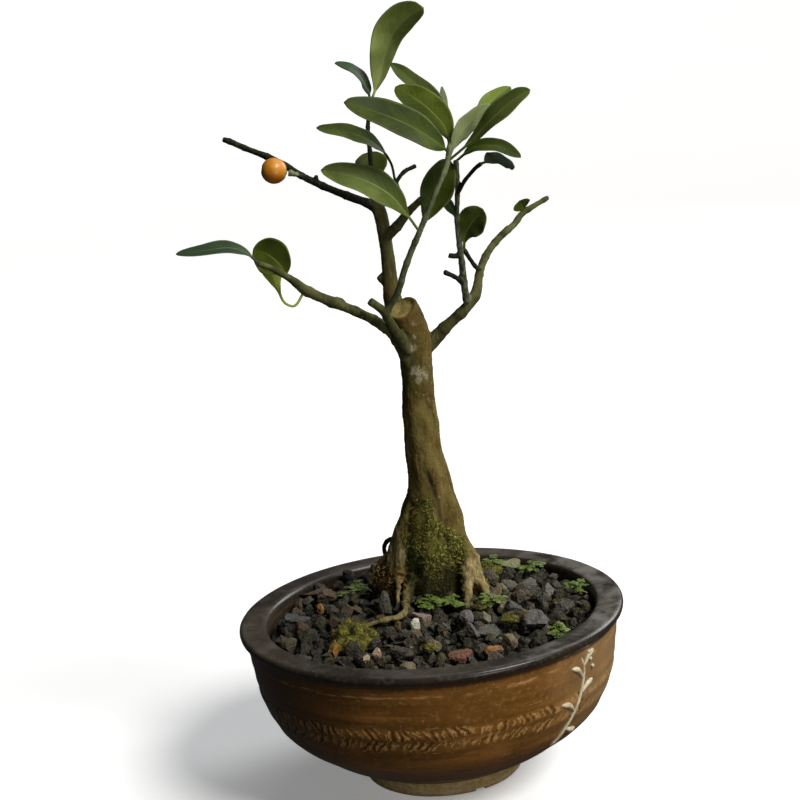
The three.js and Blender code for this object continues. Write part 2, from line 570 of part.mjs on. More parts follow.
// The potting soil under the grit, with a pocket over each screen
function soilSolid(woodHole) {
  const profile = [
    [0, FLOOR_Z + GAP], [32.6, FLOOR_Z + GAP], [41.6, 15], [51.6, 20.4], [61, 28.4], [67.1, 37.2],
    [70.5, 46.1], [72.2, 57], [72.2, SOIL_TOP], [0, SOIL_TOP],
  ];
  let soil = solidOf(turned(profile, BOWL_SIDES)).subtract(woodHole);
  for (const angle of drainAngles) {
    const side = SCREEN_SIDE + GAP * 2;
    const middle = [DRAIN_RING_R, 0, FLOOR_Z + GAP];
    soil = soil.subtract(solidOf(block(side, side, (SCREEN_THICK + GAP) * 2, middle, angle)));
  }
  return largest(soil);
}

// A cushion of moss on a stone
function mossLump(grow) {
  const lump = mergeVertices(plainIcosahedron(1), 1e-4);
  const position = lump.attributes.position;
  for (let i = 0; i < position.count; i += 1) {
    const point = [position.getX(i), position.getY(i), position.getZ(i)];
    const [x, y, z] = point;
    const bump = 1 + 0.09 * Math.sin(5 * x + 2) * Math.cos(4 * y) + 0.05 * Math.sin(7 * z);
    position.setXYZ(i, ...point.map((c, axis) => MOSS_AT[axis] + c * (MOSS_HALF[axis] * bump + grow)));
  }
  return lump;
}

function plainIcosahedron(detail) {
  const geometry = new THREE.IcosahedronGeometry(1, detail);
  geometry.deleteAttribute('normal');
  geometry.deleteAttribute('uv');
  return geometry;
}

function fruitGeometry() {
  const fruit = new THREE.SphereGeometry(FRUIT_R, 16, 11).rotateX(Math.PI / 2);
  return fruit.translate(...FRUIT_AT);
}

// The named pieces with their plain colours
const tree = new THREE.Group();

function place(name, geometry, color, roughness) {
  const material = new THREE.MeshStandardMaterial({ color, roughness, metalness: 0 });
  const mesh = new THREE.Mesh(geometry, material);
  mesh.name = name;
  tree.add(mesh);
}

const woodHole = woodSolid(HOLE_GAP);
const cleared = woodSolid(GAP);

place('bowl', geometryOf(bowlSolid()), 0x6b4423, 0.45);
drainAngles.forEach((angle, i) => {
  place(`drain_screen_${i + 1}`, geometryOf(screenSolid(angle)), 0x2b2b2b, 0.7);
});
place('soil', geometryOf(soilSolid(woodHole)), 0x33281f, 1);
place('lava_grit', geometryOf(gritSolid(woodHole)), 0x4a4648, 0.95);
place('moss_mound', mossLump(0), 0x6d7421, 1);
place('tree_wood', geometryOf(woodSolid(0)), 0x5c4f2c, 0.85);
for (const [name, form] of Object.entries(leaves)) {
  place(name, geometryOf(largest(solidOf(blade(form)).subtract(cleared))), 0x4a5a25, 0.4);
}
place('kumquat', fruitGeometry(), 0xd9861a, 0.35);
for (const [name, form] of Object.entries(weeds)) {
  place(name, geometryOf(weedSolid(form)), 0x5f8f24, 0.7);
}

export default tree;
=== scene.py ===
# A Hong Kong kumquat grown as a small bonsai, in its stoneware bowl. Metres, +Z up, viewer at -Y.
# Sizes are in millimetres, which MM turns into metres. Only the lights and the camera are in metres.
import bmesh
import bpy
import json
import math
import random
from mathutils import Matrix, Quaternion, Vector, kdtree, noise

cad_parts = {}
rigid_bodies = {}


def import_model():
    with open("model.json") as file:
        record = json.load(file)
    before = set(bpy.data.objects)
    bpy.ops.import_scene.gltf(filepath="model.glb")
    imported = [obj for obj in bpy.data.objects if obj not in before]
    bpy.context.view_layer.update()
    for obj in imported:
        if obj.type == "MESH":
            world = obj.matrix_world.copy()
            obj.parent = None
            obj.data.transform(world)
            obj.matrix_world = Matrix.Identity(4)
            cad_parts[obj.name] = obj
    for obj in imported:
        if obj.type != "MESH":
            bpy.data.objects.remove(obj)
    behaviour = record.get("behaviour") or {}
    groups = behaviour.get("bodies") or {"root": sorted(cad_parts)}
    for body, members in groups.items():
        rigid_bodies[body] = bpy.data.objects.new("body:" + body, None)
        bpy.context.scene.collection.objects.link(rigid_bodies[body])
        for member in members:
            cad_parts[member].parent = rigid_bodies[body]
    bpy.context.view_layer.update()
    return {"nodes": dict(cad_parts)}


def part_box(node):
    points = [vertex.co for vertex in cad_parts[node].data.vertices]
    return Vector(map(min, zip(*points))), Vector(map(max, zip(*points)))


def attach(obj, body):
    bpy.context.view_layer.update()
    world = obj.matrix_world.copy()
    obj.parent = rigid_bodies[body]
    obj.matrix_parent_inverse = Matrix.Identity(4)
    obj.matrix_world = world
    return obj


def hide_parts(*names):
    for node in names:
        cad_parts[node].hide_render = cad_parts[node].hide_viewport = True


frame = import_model()

# The bowl is thrown stoneware. Its turned foot is left bare, its wall carries an impressed band under
# a brown glaze, and its rolled rim is dipped in a dark slip. It stands on its foot and holds the rest.
MM = 0.001
TURN = math.tau
BOWL_SIDES = 800
COARSE_STEP = 3.2
FINE_STEP = 0.62
RIM_TOP = 75
RIM_LINE = 69.6
RIDGE_Z = 65.2
RIDGE_HIGH = 0.3
RIDGE_HALF = 1.3
RING_HIGH = 0.14
RING_RATE = 0.85
FOOT_LINE = 9.6
FLOOR_TOP = 12
INSIDE_R = 74
WOBBLE = 0.25
BAND_LOW = 39.3
BAND_HIGH = 51.5
BAND_R = 74.5
BAND_STROKES = 150
STROKE_DEPTH = 0.52
STROKE_HALF = 0.62
DRAIN_R = 4.5
DRAIN_RING_R = 17
DRAIN_ANGLES = [-65, 55, 175]
DRILL_LONG = 30
GROOVE = (24.6, 5, 3.2)
SHARP_ANGLE = 50
# Radius and height, from the middle of the foot up the outside and down the inside; the first 17 spans
# are the outside
OUTER_SPANS = 17
BOWL_PROFILE = [
    (0, 0), (20, 0), (34.3, 0), (35.3, 0.7), (37, 4.6), (38.9, 8.4), (39.8, 8.9), (40.9, 8.9), (43, 10.2),
    (52.2, 15), (61, 21), (70.7, 29), (75.5, 37), (78.6, 45), (80.1, 53), (81.2, 61), (82, 67.5),
    (82.4, 69.6), (83.6, 70.7), (84.8, 72), (84.9, 73.8), (83.7, 74.9), (82, 75), (76, 74.9), (73.9, 74.6),
    (72.9, 73.2), (72.8, 66), (72.8, 57), (71, 46), (67.6, 37), (61.5, 28), (52, 20), (42, 14.5), (33, 12),
    (16, 12), (0, 12),
]


def colour(hexed):
    """A colour as seen, from its six hex digits, as the linear RGBA that shaders use."""
    parts = [int(hexed[i:i + 2], 16) / 255 for i in (0, 2, 4)]
    linear = [p / 12.92 if p <= 0.04045 else ((p + 0.055) / 1.055) ** 2.4 for p in parts]
    return (*linear, 1.0)


class Wire:
    """A socket of a node tree; arithmetic on it adds Math nodes."""

    def __init__(self, tree, socket=None):
        self.tree = tree
        self.socket = socket

    def node(self, kind, settings=None, sockets=None, out=0):
        """Adds a node of that kind: its settings first, then the values or links of its sockets."""
        made = self.tree.nodes.new(kind if "Node" in kind else "ShaderNode" + kind)
        for name, value in (settings or {}).items():
            if name == "stops":
                for at, tint in value[2:]:
                    made.color_ramp.elements.new(at)
                for element, (at, tint) in zip(made.color_ramp.elements, value):
                    element.position = at
                    element.color = colour(tint)
            else:
                setattr(made, name, value)
        for name, value in (sockets or {}).items():
            if isinstance(value, Wire):
                self.tree.links.new(value.socket, made.inputs[name])
            else:
                made.inputs[name].default_value = value
        return Wire(self.tree, made.outputs[out])

    def out(self, name):
        """Another output of the same node."""
        return Wire(self.tree, self.socket.node.outputs[name])

    def math(self, operation, *values):
        return self.node("Math", {"operation": operation}, dict(enumerate(values)))

    def __add__(self, other):
        return self.math("ADD", self, other)

    def __sub__(self, other):
        return self.math("SUBTRACT", self, other)

    def __rsub__(self, other):
        return self.math("SUBTRACT", other, self)

    def __mul__(self, other):
        return self.math("MULTIPLY", self, other)

    def __rtruediv__(self, other):
        return self.math("DIVIDE", other, self)

    def __abs__(self):
        return self.math("ABSOLUTE", self)

    __radd__ = __add__
    __rmul__ = __mul__


def attribute(w, name):
    return w.node("Attribute", {"attribute_name": name}, out="Fac")


def rising(value, low, high):
    """0 below low, 1 above high and smooth between; it falls instead where low is above high."""
    sockets = {"Value": value, "From Min": low, "From Max": high}
    return value.node("MapRange", {"interpolation_type": "SMOOTHSTEP"}, sockets)


def blended(mask, under, over):
    """The tint under the mask where it is 0 and the one over it where it is 1; either may be hex digits."""
    tints = [colour(tint) if isinstance(tint, str) else tint for tint in (under, over)]
    return mask.node("Mix", {"data_type": "RGBA"}, {0: mask, 6: tints[0], 7: tints[1]}, out=2)


def layered(tint, coats):
    """The tint with coats over it, in their order, each a mask and the tint that it brings."""
    for mask, coat in coats:
        tint = blended(mask, tint, coat)
    return tint


def own(w, axis):
    """The object's own coordinate along that axis, in millimetres."""
    return w.node("SeparateXYZ", {}, {"Vector": w.node("TexCoord", out="Object")}, out=axis) * 1000


def stretched(w, per_mm):
    """The object's own coordinates in steps of per_mm, one number or one for each axis."""
    even = isinstance(per_mm, (int, float))
    scale = tuple(p * 1000 for p in ([per_mm] * 3 if even else per_mm))
    return w.node("Mapping", {}, {"Vector": w.node("TexCoord", out="Object"), "Scale": scale})


def grain(w, per_mm, detail=3.0, rough=0.55, warp=0.0):
    """Noise with about per_mm features a millimetre, from 0 to 1."""
    sockets = {"Vector": stretched(w, per_mm), "Scale": 1.0, "Detail": detail}
    return w.node("TexNoise", {}, {**sockets, "Roughness": rough, "Distortion": warp})


def cells(w, per_mm):
    """How far it is to the nearest of about per_mm scattered dots a millimetre."""
    return w.node("TexVoronoi", {}, {"Vector": stretched(w, per_mm), "Scale": 1.0})


def relief(height, strength, millimetres, under=None):
    """The surface normal with that height pressed into it, over the one under it."""
    sockets = {"Height": height, "Strength": strength, "Distance": millimetres * MM}
    if under is not None:
        sockets["Normal"] = under
    return height.node("Bump", {}, sockets)


def painted(name, look, **uniform):
    """A material whose look gives its tint, roughness and any relief; its other values are uniform."""
    made = bpy.data.materials.new(name)
    made.use_nodes = True
    shader = made.node_tree.nodes["Principled BSDF"]
    for socket, wire in zip(("Base Color", "Roughness", "Normal"), look(Wire(made.node_tree))):
        made.node_tree.links.new(wire.socket, shader.inputs[socket])
    for socket, value in uniform.items():
        shader.inputs[socket.replace("_", " ")].default_value = value
    return made


def shown(name, data):
    """A new object of that data, in the scene."""
    made = bpy.data.objects.new(name, data)
    bpy.context.collection.objects.link(made)
    return made


def valued(piece, label, numbers):
    """Gives each point of the piece its own number under that label."""
    piece.data.attributes.new(label, "FLOAT", "POINT").data.foreach_set("value", numbers)


def meshed(name, points, faces, finish=None, smooth=True, values=None):
    """A new object from points in millimetres, with its finish and its labelled numbers a point."""
    mesh = bpy.data.meshes.new(name)
    mesh.from_pydata([tuple(c * MM for c in p) for p in points], [], faces)
    mesh.shade_smooth() if smooth else mesh.shade_flat()
    if finish is not None:
        mesh.materials.append(finish)
    piece = shown(name, mesh)
    for label, numbers in (values or {}).items():
        valued(piece, label, numbers)
    return piece


def applied(piece):
    """Turns the piece's modifiers into its plain mesh."""
    bpy.context.view_layer.update()
    graph = bpy.context.evaluated_depsgraph_get()
    seen = piece.evaluated_get(graph)
    mesh = bpy.data.meshes.new_from_object(seen, preserve_all_data_layers=True, depsgraph=graph)
    piece.modifiers.clear()
    piece.data = mesh
    return piece


def placed(piece, slot, *nodes):
    """The piece rides on the one body and stands for those nodes; slot is not used."""
    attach(piece, "root")
    if nodes:
        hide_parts(*nodes)


def along_curve(points, t):
    """The point at t, from 0 to 1, of a smooth curve through the points."""
    spans = len(points) - 1
    i = min(int(t * spans), spans - 1)
    f = t * spans - i
    b, c = points[i], points[i + 1]
    a = points[i - 1] if i > 0 else b * 2 - c
    d = points[i + 2] if i + 2 <= spans else c * 2 - b
    da, db, dc = (max(1e-4, (q - p).length ** 0.5) for p, q in ((a, b), (b, c), (c, d)))
    slope_b = ((b - a) / da - (c - a) / (da + db) + (c - b) / db) * db
    slope_c = ((c - b) / db - (d - b) / (db + dc) + (d - c) / dc) * db
    return (b + slope_b * f + (c * 3 - b * 3 - slope_b * 2 - slope_c) * f ** 2
            + (b * 2 - c * 2 + slope_b + slope_c) * f ** 3)


def smoothstep(value, low, high):
    """0 below low, 1 above high and smooth between, for a plain number."""
    part = min(1.0, max(0.0, (value - low) / (high - low)))
    return part * part * (3 - 2 * part)


def pressed(angle, z):
    """How deep the stamp went in at that angle and height: two rows of short strokes, each unlike."""
    depth = 0.0
    middle = (BAND_LOW + BAND_HIGH) / 2
    quarter = (BAND_HIGH - BAND_LOW) / 4
    sway = noise.noise(Vector((angle * 6, z * 0.1, 4)))
    crumble = 0.75 + 0.7 * noise.noise(Vector((angle * 70, z * 0.8, 2)))
    for row, lean in ((1, 0.7), (-1, -0.5)):
        height = z - (middle + row * (quarter - 0.3)) + 0.8 * sway
        if abs(height) > quarter + 0.6:
            continue
        bow = 0.3 * noise.noise(Vector((angle * 30, height * 0.5, row)))
        run = angle / TURN * BAND_STROKES + row * 0.2 + height * (lean + 0.7 * sway) * 0.3 + bow
        stroke = math.floor(run)
        chance = noise.cell(Vector((stroke * 1.7, row * 3.1, 0.5)))
        twist = noise.cell(Vector((stroke * 2.3, row * 1.9, 7.5))) - 0.5
        off = (run - stroke - 0.5 - 0.3 * (chance - 0.5)) * 3.3 + twist * height * 0.45
        ends = 1 - smoothstep(abs(height - twist), quarter - 2.4 + 1.7 * chance, quarter)
        depth += ends * crumble * (0.25 + 0.75 * chance) * math.exp(-(off / STROKE_HALF) ** 2)
        depth -= ends * crumble * 0.34 * math.exp(-((abs(off) - 1.3) / 0.5) ** 2)
    return depth


def bowl_points():
    """The profile as a smooth line of points, close together where the band is."""
    profile = [Vector((r, 0, z)) for r, z in BOWL_PROFILE]
    spans = len(profile) - 1
    rows = []
    for i in range(spans):
        start, end = profile[i], profile[i + 1]
        in_band = start.z > BAND_LOW - 3 and end.z < BAND_HIGH + 3 and start.x > 70 and i < OUTER_SPANS
        step = FINE_STEP if in_band else COARSE_STEP
        count = max(2, math.ceil((end - start).length / step)) if i not in (0, spans - 1) else 1
        rows += [along_curve(profile, (i + k / count) / spans) for k in range(count)]
    return rows[1:]


def between_rings(start, rings, sides, turned=False):
    """The faces between rings of points, of which the first begins at start; turned ones face back."""
    faces = []
    for i in range(rings - 1):
        for k in range(sides):
            a = start + i * sides + k
            b = start + i * sides + (k + 1) % sides
            faces.append((a, a + sides, b + sides, b) if turned else (a, b, b + sides, a + sides))
    return faces


def bowl_mesh():
    """The profile turned round, with the rings, the ridge under the rim and the pressed band."""
    points = [(0, 0, 0)]
    rows = bowl_points()
    for index, row in enumerate(rows):
        outside = index < len(rows) * 0.8 and FOOT_LINE + 2 < row.z < RIM_LINE
        for k in range(BOWL_SIDES):
            angle = k / BOWL_SIDES * TURN
            c, s = math.cos(angle), math.sin(angle)
            r = row.x
            if outside:
                r += RING_HIGH * math.sin(row.z * RING_RATE + 0.4 * math.sin(angle)) - 0.05
                r += RIDGE_HIGH * math.exp(-((row.z - RIDGE_Z) / RIDGE_HALF) ** 2)
                if BAND_LOW - 1 < row.z < BAND_HIGH + 1:
                    r -= STROKE_DEPTH * pressed(angle, row.z)
            wander = noise.noise(Vector((c * 1.6, s * 1.6, row.z * 0.03)))
            points.append(((r + WOBBLE * wander) * c, (r + WOBBLE * wander) * s, row.z))
    faces = between_rings(1, len(rows), BOWL_SIDES)
    last = 1 + (len(rows) - 1) * BOWL_SIDES
    points.append((0, 0, FLOOR_TOP))
    for k in range(BOWL_SIDES):
        after = (k + 1) % BOWL_SIDES
        faces.append((0, 1 + after, 1 + k))
        faces.append((len(points) - 1, last + k, last + after))
    return points, faces


def cutter(angle, groove):
    """A drain hole's bit, or the groove's, turned to its place under the foot."""
    tool = bmesh.new()
    if groove:
        bmesh.ops.create_cube(tool, size=1)
        bmesh.ops.scale(tool, vec=GROOVE, verts=tool.verts)
        bmesh.ops.translate(tool, vec=(DRAIN_RING_R + GROOVE[0] / 2, 0, 0), verts=tool.verts)
    else:
        bmesh.ops.create_cone(
            tool, cap_ends=True, segments=40, radius1=DRAIN_R, radius2=DRAIN_R, depth=DRILL_LONG)
        bmesh.ops.translate(tool, vec=(DRAIN_RING_R, 0, FLOOR_TOP / 2), verts=tool.verts)
    bmesh.ops.rotate(tool, matrix=Matrix.Rotation(math.radians(angle), 3, "Z"), verts=tool.verts)
    mesh = bpy.data.meshes.new("cutter")
    bmesh.ops.scale(tool, vec=(MM, MM, MM), verts=tool.verts)
    tool.to_mesh(mesh)
    tool.free()
    return shown("cutter", mesh)


def bowl_look(w):
    x = own(w, "X")
    z = own(w, "Z")
    ripple = grain(w, 0.5, 3)
    wobble = grain(w, 0.06, 3)
    rim = rising(z + wobble * 0.8, RIM_LINE + 0.2, RIM_LINE + 0.9)
    dark = rim.math("MAXIMUM", rim, attribute(w, "inner"))
    edge = z + wobble * 0.9 + ripple * 0.5
    bare = rising(edge, FOOT_LINE + 0.7, FOOT_LINE + 0.2)
    rings = grain(w, (0.012, 0.012, 0.3), 2, 0.5)
    cloud = grain(w, (0.022, 0.022, 0.05), 5, 0.62, 0.6)
    fine = grain(w, 2.2, 3)
    # The ridge under the rim: the glaze breaks paler along it, and that pale tint is also a painted highlight
    breaks = rising(abs(z - RIDGE_Z + wobble * 1.6 - 0.8), 1.1, 0.2)
    breaks = breaks * rising(grain(w, (0.1, 0.1, 0.5), 4, 0.7), 0.46, 0.62)
    hollow = attribute(w, "hollow")
    # Small pale dashes: scuffs in the glaze that also stand as painted glints
    scuff_and_glint = rising(grain(w, (0.06, 0.06, 0.6), 6, 0.72, 0.4), 0.62, 0.68) * rising(fine, 0.42, 0.55)
    dots = rising(cells(w, (0.16, 0.16, 0.2)), 0.085, 0.04)
    glaze = layered("69461a", [
        (rising(cloud, 0.34, 0.68), "90602c"),
        (rising(rings, 0.54, 0.7) * 0.42, "4f3212"),
        (rising(rings, 0.42, 0.3) * 0.3, "a1753f"),
        (rising(ripple, 0.52, 0.7) * 0.35, "9c7746"),
        (rising(ripple, 0.46, 0.32) * 0.3, "5a3b1a"),
        (rising(z + ripple * 4, 30, 12) * 0.45, "422c0e"),
        # painted shade: the glaze darkens towards the left, away from the light
        (rising(x - cloud * 30, -40, -90) * 0.6, "2b1909"),
        # painted reflection: the glaze turns paler and greyer towards the right, as a sheen
        (rising(x + cloud * 24, 46, 92) * 0.5, "b8996e"),
        (breaks * 0.6, "cf9d6a"),
        # painted shade just above the foot, under the bowl's belly
        (rising(edge, FOOT_LINE + 3, FOOT_LINE + 1) * 0.75, "1d1509"),
        # painted shade just under the overhang of the rim
        (rising(z - ripple, RIM_LINE - 2.2, RIM_LINE - 0.6) * 0.6, "2a1a0e"),
        (rising(hollow, 0.05, 0.5) * 0.6, "2c1b0b"),
        # painted highlight on the raised edges between the stamped strokes
        (rising(hollow, -0.03, -0.16) * rising(fine, 0.38, 0.56) * 0.85, "bd975f"),
        (scuff_and_glint * 0.6, "c7aa82"),
        (dots * 0.5, "bfa47c"),
    ])
    thin = rising(abs(z - (RIM_LINE + 1) + ripple), 1.1, 0.3) * rising(fine, 0.35, 0.6)
    film = rising(z, RIM_TOP - 0.7, RIM_TOP - 0.1) * rising(grain(w, 0.05, 5, 0.65, 0.5), 0.4, 0.66)
    worn = rising(grain(w, (0.2, 0.2, 0.4), 6, 0.75), 0.66, 0.72)
    slip = layered("27211a", [
        (rising(cloud, 0.35, 0.7), "3c3429"),
        (rising(ripple, 0.48, 0.7) * 0.35, "57534a"),
        (thin * 0.5, "6a4f36"),
        # painted sheen: the dusty film shows more towards the right
        (film * (0.12 + rising(x, 5, 80) * 0.45), "8e8b83"),
        (worn * 0.7, "9b9a93"),
    ])
    specks = rising(cells(w, 0.42), 0.13, 0.05)
    clay = layered("ae915c", [
        (rising(ripple, 0.3, 0.75), "d6bc86"),
        (rising(grain(w, (0.09, 0.09, 0.3), 4), 0.5, 0.72) * 0.6, "d9c99e"),
        (specks * 0.75, "4b3d28"),
        (rising(z, 3.0, 0.3) * 0.45, "7c6848"),
    ])
    tint = blended(bare, blended(dark, glaze, slip), clay)
    gloss = 0.26 + ripple * 0.16 + scuff_and_glint * 0.2
    dull = 0.2 + cloud * 0.2 + film * 0.15
    rough = gloss + dark * (dull - gloss)
    rough = rough + bare * (0.85 - rough)
    level = w.node("CombineXYZ", {}, {0: x, 1: own(w, "Y")})
    far = w.node("VectorMath", {"operation": "LENGTH"}, {0: level}, out="Value")
    wiped = w.node("TexNoise", {"noise_dimensions": "1D"}, {"W": far, "Scale": 1.4, "Detail": 2.0})
    turning = relief(wiped * rim, 0.35, 0.3, relief(rings, 0.3, 0.6))
    pits = relief(fine + ripple * 0.6, 0.16 + bare * 0.5, 0.15, turning)
    return tint, rough, pits


bowl_finish = painted("bowl finish", bowl_look, Specular_IOR_Level=0.34)
bowl = meshed("stoneware_bowl", *bowl_mesh(), bowl_finish)
for groove in (False, True):
    for drain_angle in DRAIN_ANGLES:
        cut = bowl.modifiers.new("cut", "BOOLEAN")
        cut.operation = "DIFFERENCE"
        cut.solver = "MANIFOLD"
        cut.object = cutter(drain_angle, groove)
applied(bowl)
for tool in [o for o in bpy.data.objects if o.name.startswith("cutter")]:
    bpy.data.objects.remove(tool)
bowl.data.shade_smooth()
bowl.data.set_sharp_from_angle(angle=math.radians(SHARP_ANGLE))
hollows = []
inners = []
for vertex in bowl.data.vertices:
    x, y, z = vertex.co / MM
    r = math.hypot(x, y)
    in_band = BAND_LOW - 1 < z < BAND_HIGH + 1 and r > BAND_R
    hollows.append(pressed(math.atan2(y, x) % TURN, z) if in_band else 0.0)
    facing_in = vertex.normal.z > 0.2 or vertex.normal.x * x + vertex.normal.y * y < 0
    inners.append(1.0 if z > FLOOR_TOP - 1 and r < INSIDE_R and facing_in else 0.0)
valued(bowl, "hollow", hollows)
valued(bowl, "inner", inners)
placed(bowl, "bowl_glaze", "bowl")


# A sprig is trailed on the bowl's right side in cream slip, a thick line squeezed from a bag: a bowed
# stem, leaves like drops on both sides of it and three berries. It is fired with the glaze.
SPRIG_STEM = [(-50, 27), (-46.5, 35), (-43.5, 44), (-41.5, 53), (-41, 60), (-42.5, 66)]
SPRIG_LEAVES = [(0.2, 7.5, -3), (0.36, -7.5, 6), (0.52, 7, 4), (0.68, -6.5, 7), (0.84, 5.5, 6)]
SPRIG_BERRIES = [(-38, 63.5), (-36.5, 59.5), (-38.8, 67)]
SLIP_HALF = 0.8
SLIP_SIDES = 12
FOOT_ROWS = 10
rows = bowl_points()
outside = rows[FOOT_ROWS:max(range(len(rows)), key=lambda i: rows[i].z)]


def on_wall(angle, z):
    """The point of the bowl's outside at that angle in degrees and that height."""
    low = max(i for i, row in enumerate(outside[:-1]) if row.z <= z)
    part = (z - outside[low].z) / (outside[low + 1].z - outside[low].z)
    r = outside[low].x + (outside[low + 1].x - outside[low].x) * part
    return Vector((r * math.cos(math.radians(angle)), r * math.sin(math.radians(angle)), z))


def tube(points, faces, centres, radii, sides, side=Vector((0.2, -1, 0.1))):
    """Adds a closed round limb through the centres to the points and faces."""
    start = len(points)
    last = len(centres) - 1
    for i, (centre, radius) in enumerate(zip(centres, radii)):
        along = (centres[min(i + 1, last)] - centres[max(i - 1, 0)]).normalized()
        side = (side - along * side.dot(along)).normalized()
        across = along.cross(side)
        for j in range(sides):
            angle = j / sides * TURN
            points.append(centre + side * radius * math.cos(angle) + across * radius * math.sin(angle))
    faces += between_rings(start, last + 1, sides)
    faces.append(tuple(start + j for j in reversed(range(sides))))
    faces.append(tuple(start + last * sides + j for j in range(sides)))


def slip_line(points, faces, route, steps, widths):
    """One trailed stroke over route, a list of angle and height, as wide as widths says along it."""
    spots = [Vector((a, z, 0)) for a, z in route]
    centres = []
    radii = []
    for k in range(steps + 1):
        t = k / steps
        spot = along_curve(spots, t)
        centres.append(on_wall(spot.x, spot.y))
        radii.append(SLIP_HALF * widths(t) * math.sqrt(max(0.02, 1 - (2 * t - 1) ** 16)))
    tube(points, faces, centres, radii, SLIP_SIDES)


def sprig_mesh():
    points = []
    faces = []
    slip_line(points, faces, SPRIG_STEM, 40, lambda t: 1.1 - 0.35 * t)
    stem = [Vector((a, z, 0)) for a, z in SPRIG_STEM]
    for t, out, rise in SPRIG_LEAVES:
        root = along_curve(stem, t)
        side = out * 0.9
        middle = (root.x + side * 0.55, root.y + rise * 0.8)
        route = [(root.x, root.y), middle, (root.x + side, root.y + rise)]
        slip_line(points, faces, route, 16, lambda u: 0.45 + 1.15 * math.sin(math.pi * u ** 1.15))
    for a, z in SPRIG_BERRIES:
        slip_line(points, faces, [(a - 0.4, z - 0.4), (a + 0.4, z + 0.4)], 10, lambda u: 1.3)
    return points, faces


def slip_look(w):
    tone = grain(w, 0.4, 4)
    tint = layered("b9ab8b", [
        (rising(tone, 0.35, 0.7), "dcd2b6"),
        (rising(grain(w, 1.4, 3), 0.6, 0.72) * 0.5, "8f7a54"),
    ])
    return tint, 0.38 + tone * 0.15, relief(tone, 0.2, 0.3)


slip_finish = painted("cream slip", slip_look, Specular_IOR_Level=0.4)
sprig = meshed("slip_sprig", *sprig_mesh(), slip_finish)
placed(sprig, "bowl_glaze")


# Three squares of black plastic mesh lie over the drain holes, under the soil. The potting soil is a
# dark damp mix of fine grit. Both are out of sight and keep their solids.
def mesh_look(w):
    tone = grain(w, 0.8, 2)
    tint = blended(tone, "1f1f20", "333334")
    return tint, 0.5 + tone * 0.2, relief(tone, 0.2, 0.1)


def soil_look(w):
    tone = grain(w, 0.35, 6, 0.7)
    crumbs = cells(w, 0.6)
    tint = layered("1d150e", [
        (rising(tone, 0.3, 0.7), "4a3826"),
        (rising(crumbs, 0.25, 0.1) * 0.6, "6f6a60"),
    ])
    return tint, 0.85 + tone * 0.1, relief(crumbs, 0.6, 0.8)


def refinished(node, finish):
    node.data.materials.clear()
    node.data.materials.append(finish)


screen_finish = painted("screen plastic", mesh_look)
for number in (1, 2, 3):
    refinished(frame["nodes"][f"drain_screen_{number}"], screen_finish)
refinished(frame["nodes"]["soil"], painted("potting soil", soil_look))


# The tree is one piece of wood: a bottle-shaped trunk that was once cut back to a stub, buttresses and
# surface roots that enter the grit, and thin branches and shoots. Rows are x, y, z and radius, in mm.
TRUNK = [
    (2, 22, 44, 9), (2, 22, 56, 14), (2, 22, 70, 16.5), (2.2, 22, 82, 16), (2, 21.5, 92, 15.3),
    (2.2, 21, 102, 14.2), (3.2, 20, 112, 12.6), (4.7, 19, 120, 11), (4.8, 18, 128, 9.6),
    (3.5, 17, 137, 8.6), (3, 16.5, 147, 8), (3, 16, 156, 7.7), (3, 15.5, 165, 7.1), (3.5, 15, 175, 6.8),
    (3.5, 15, 184, 7.2), (3.3, 14, 192, 7.3), (2.4, 12, 199, 7.2), (1.2, 9.8, 204.5, 6.8),
    (-0.4, 7.8, 208, 5.9),
]
BUTTRESSES = [
    [(0, 18, 122, 5), (-4.5, 17, 109, 7), (-9.6, 17, 95, 7.8), (-12.6, 17, 82, 8), (-15, 17, 70, 8),
     (-16, 17, 60, 6)],
    [(4, 12, 112, 5), (3, 11, 97, 6.5), (1.5, 10.5, 85, 7), (0.5, 10.5, 74, 7), (0, 11, 62, 6)],
    [(9, 17, 124, 5.4), (11.4, 16, 112, 6.9), (12.4, 15, 101, 6.6), (16.8, 15, 91, 6.2), (20.5, 14, 82, 5),
     (22, 12, 70, 4.5)],
    [(5, 26, 118, 6), (6, 30, 102, 7.5), (7, 34, 88, 8), (8, 36, 76, 8), (8, 36, 62, 6)],
    [(-2, 28, 98, 6), (-8, 33, 86, 6.5), (-12, 37, 76, 5), (-14, 40, 66, 4)],
    [(-10, 21, 94, 4), (-16, 21, 88, 6.5), (-17.5, 21, 82, 7.2), (-15, 22, 72, 4.5)],
]
LONG_ROOT = [
    [(-6, 9, 87, 3.2), (-9.5, 6, 80.5, 2.3), (-10.5, 0, 78, 2), (-10.8, -8, 77.2, 1.7),
     (-13.5, -14.5, 76.6, 1.5), (-20, -15.5, 76, 1.3), (-27, -14.5, 74, 1.1), (-31, -12, 70, 1)],
]
PALE_ROOTS = [
    [(18, 12, 95, 4), (18, 8.5, 88, 3.9), (17.6, 6, 83, 2.7), (17, 3.5, 77.5, 2.1), (17.2, 2, 70, 2)],
    [(20, 12, 93, 3.6), (21, 9.5, 86, 3.2), (23, 8, 81.5, 2.5), (25, 7, 77.5, 2), (27.5, 5, 71, 1.8)],
    [(-12, 12, 88, 1.5), (-13.5, 7, 83, 1.1), (-14.2, 5, 79, 0.95), (-13.8, 3, 75, 1), (-13, 3, 69, 1)],
    [(-8, 30, 95, 1.5), (-12.5, 32.5, 97.5, 1.3), (-16.5, 34, 96.8, 1.2), (-18.8, 34.5, 93.5, 1.2),
     (-18, 33, 89, 1.3), (-14, 30, 84, 1.5)],
]
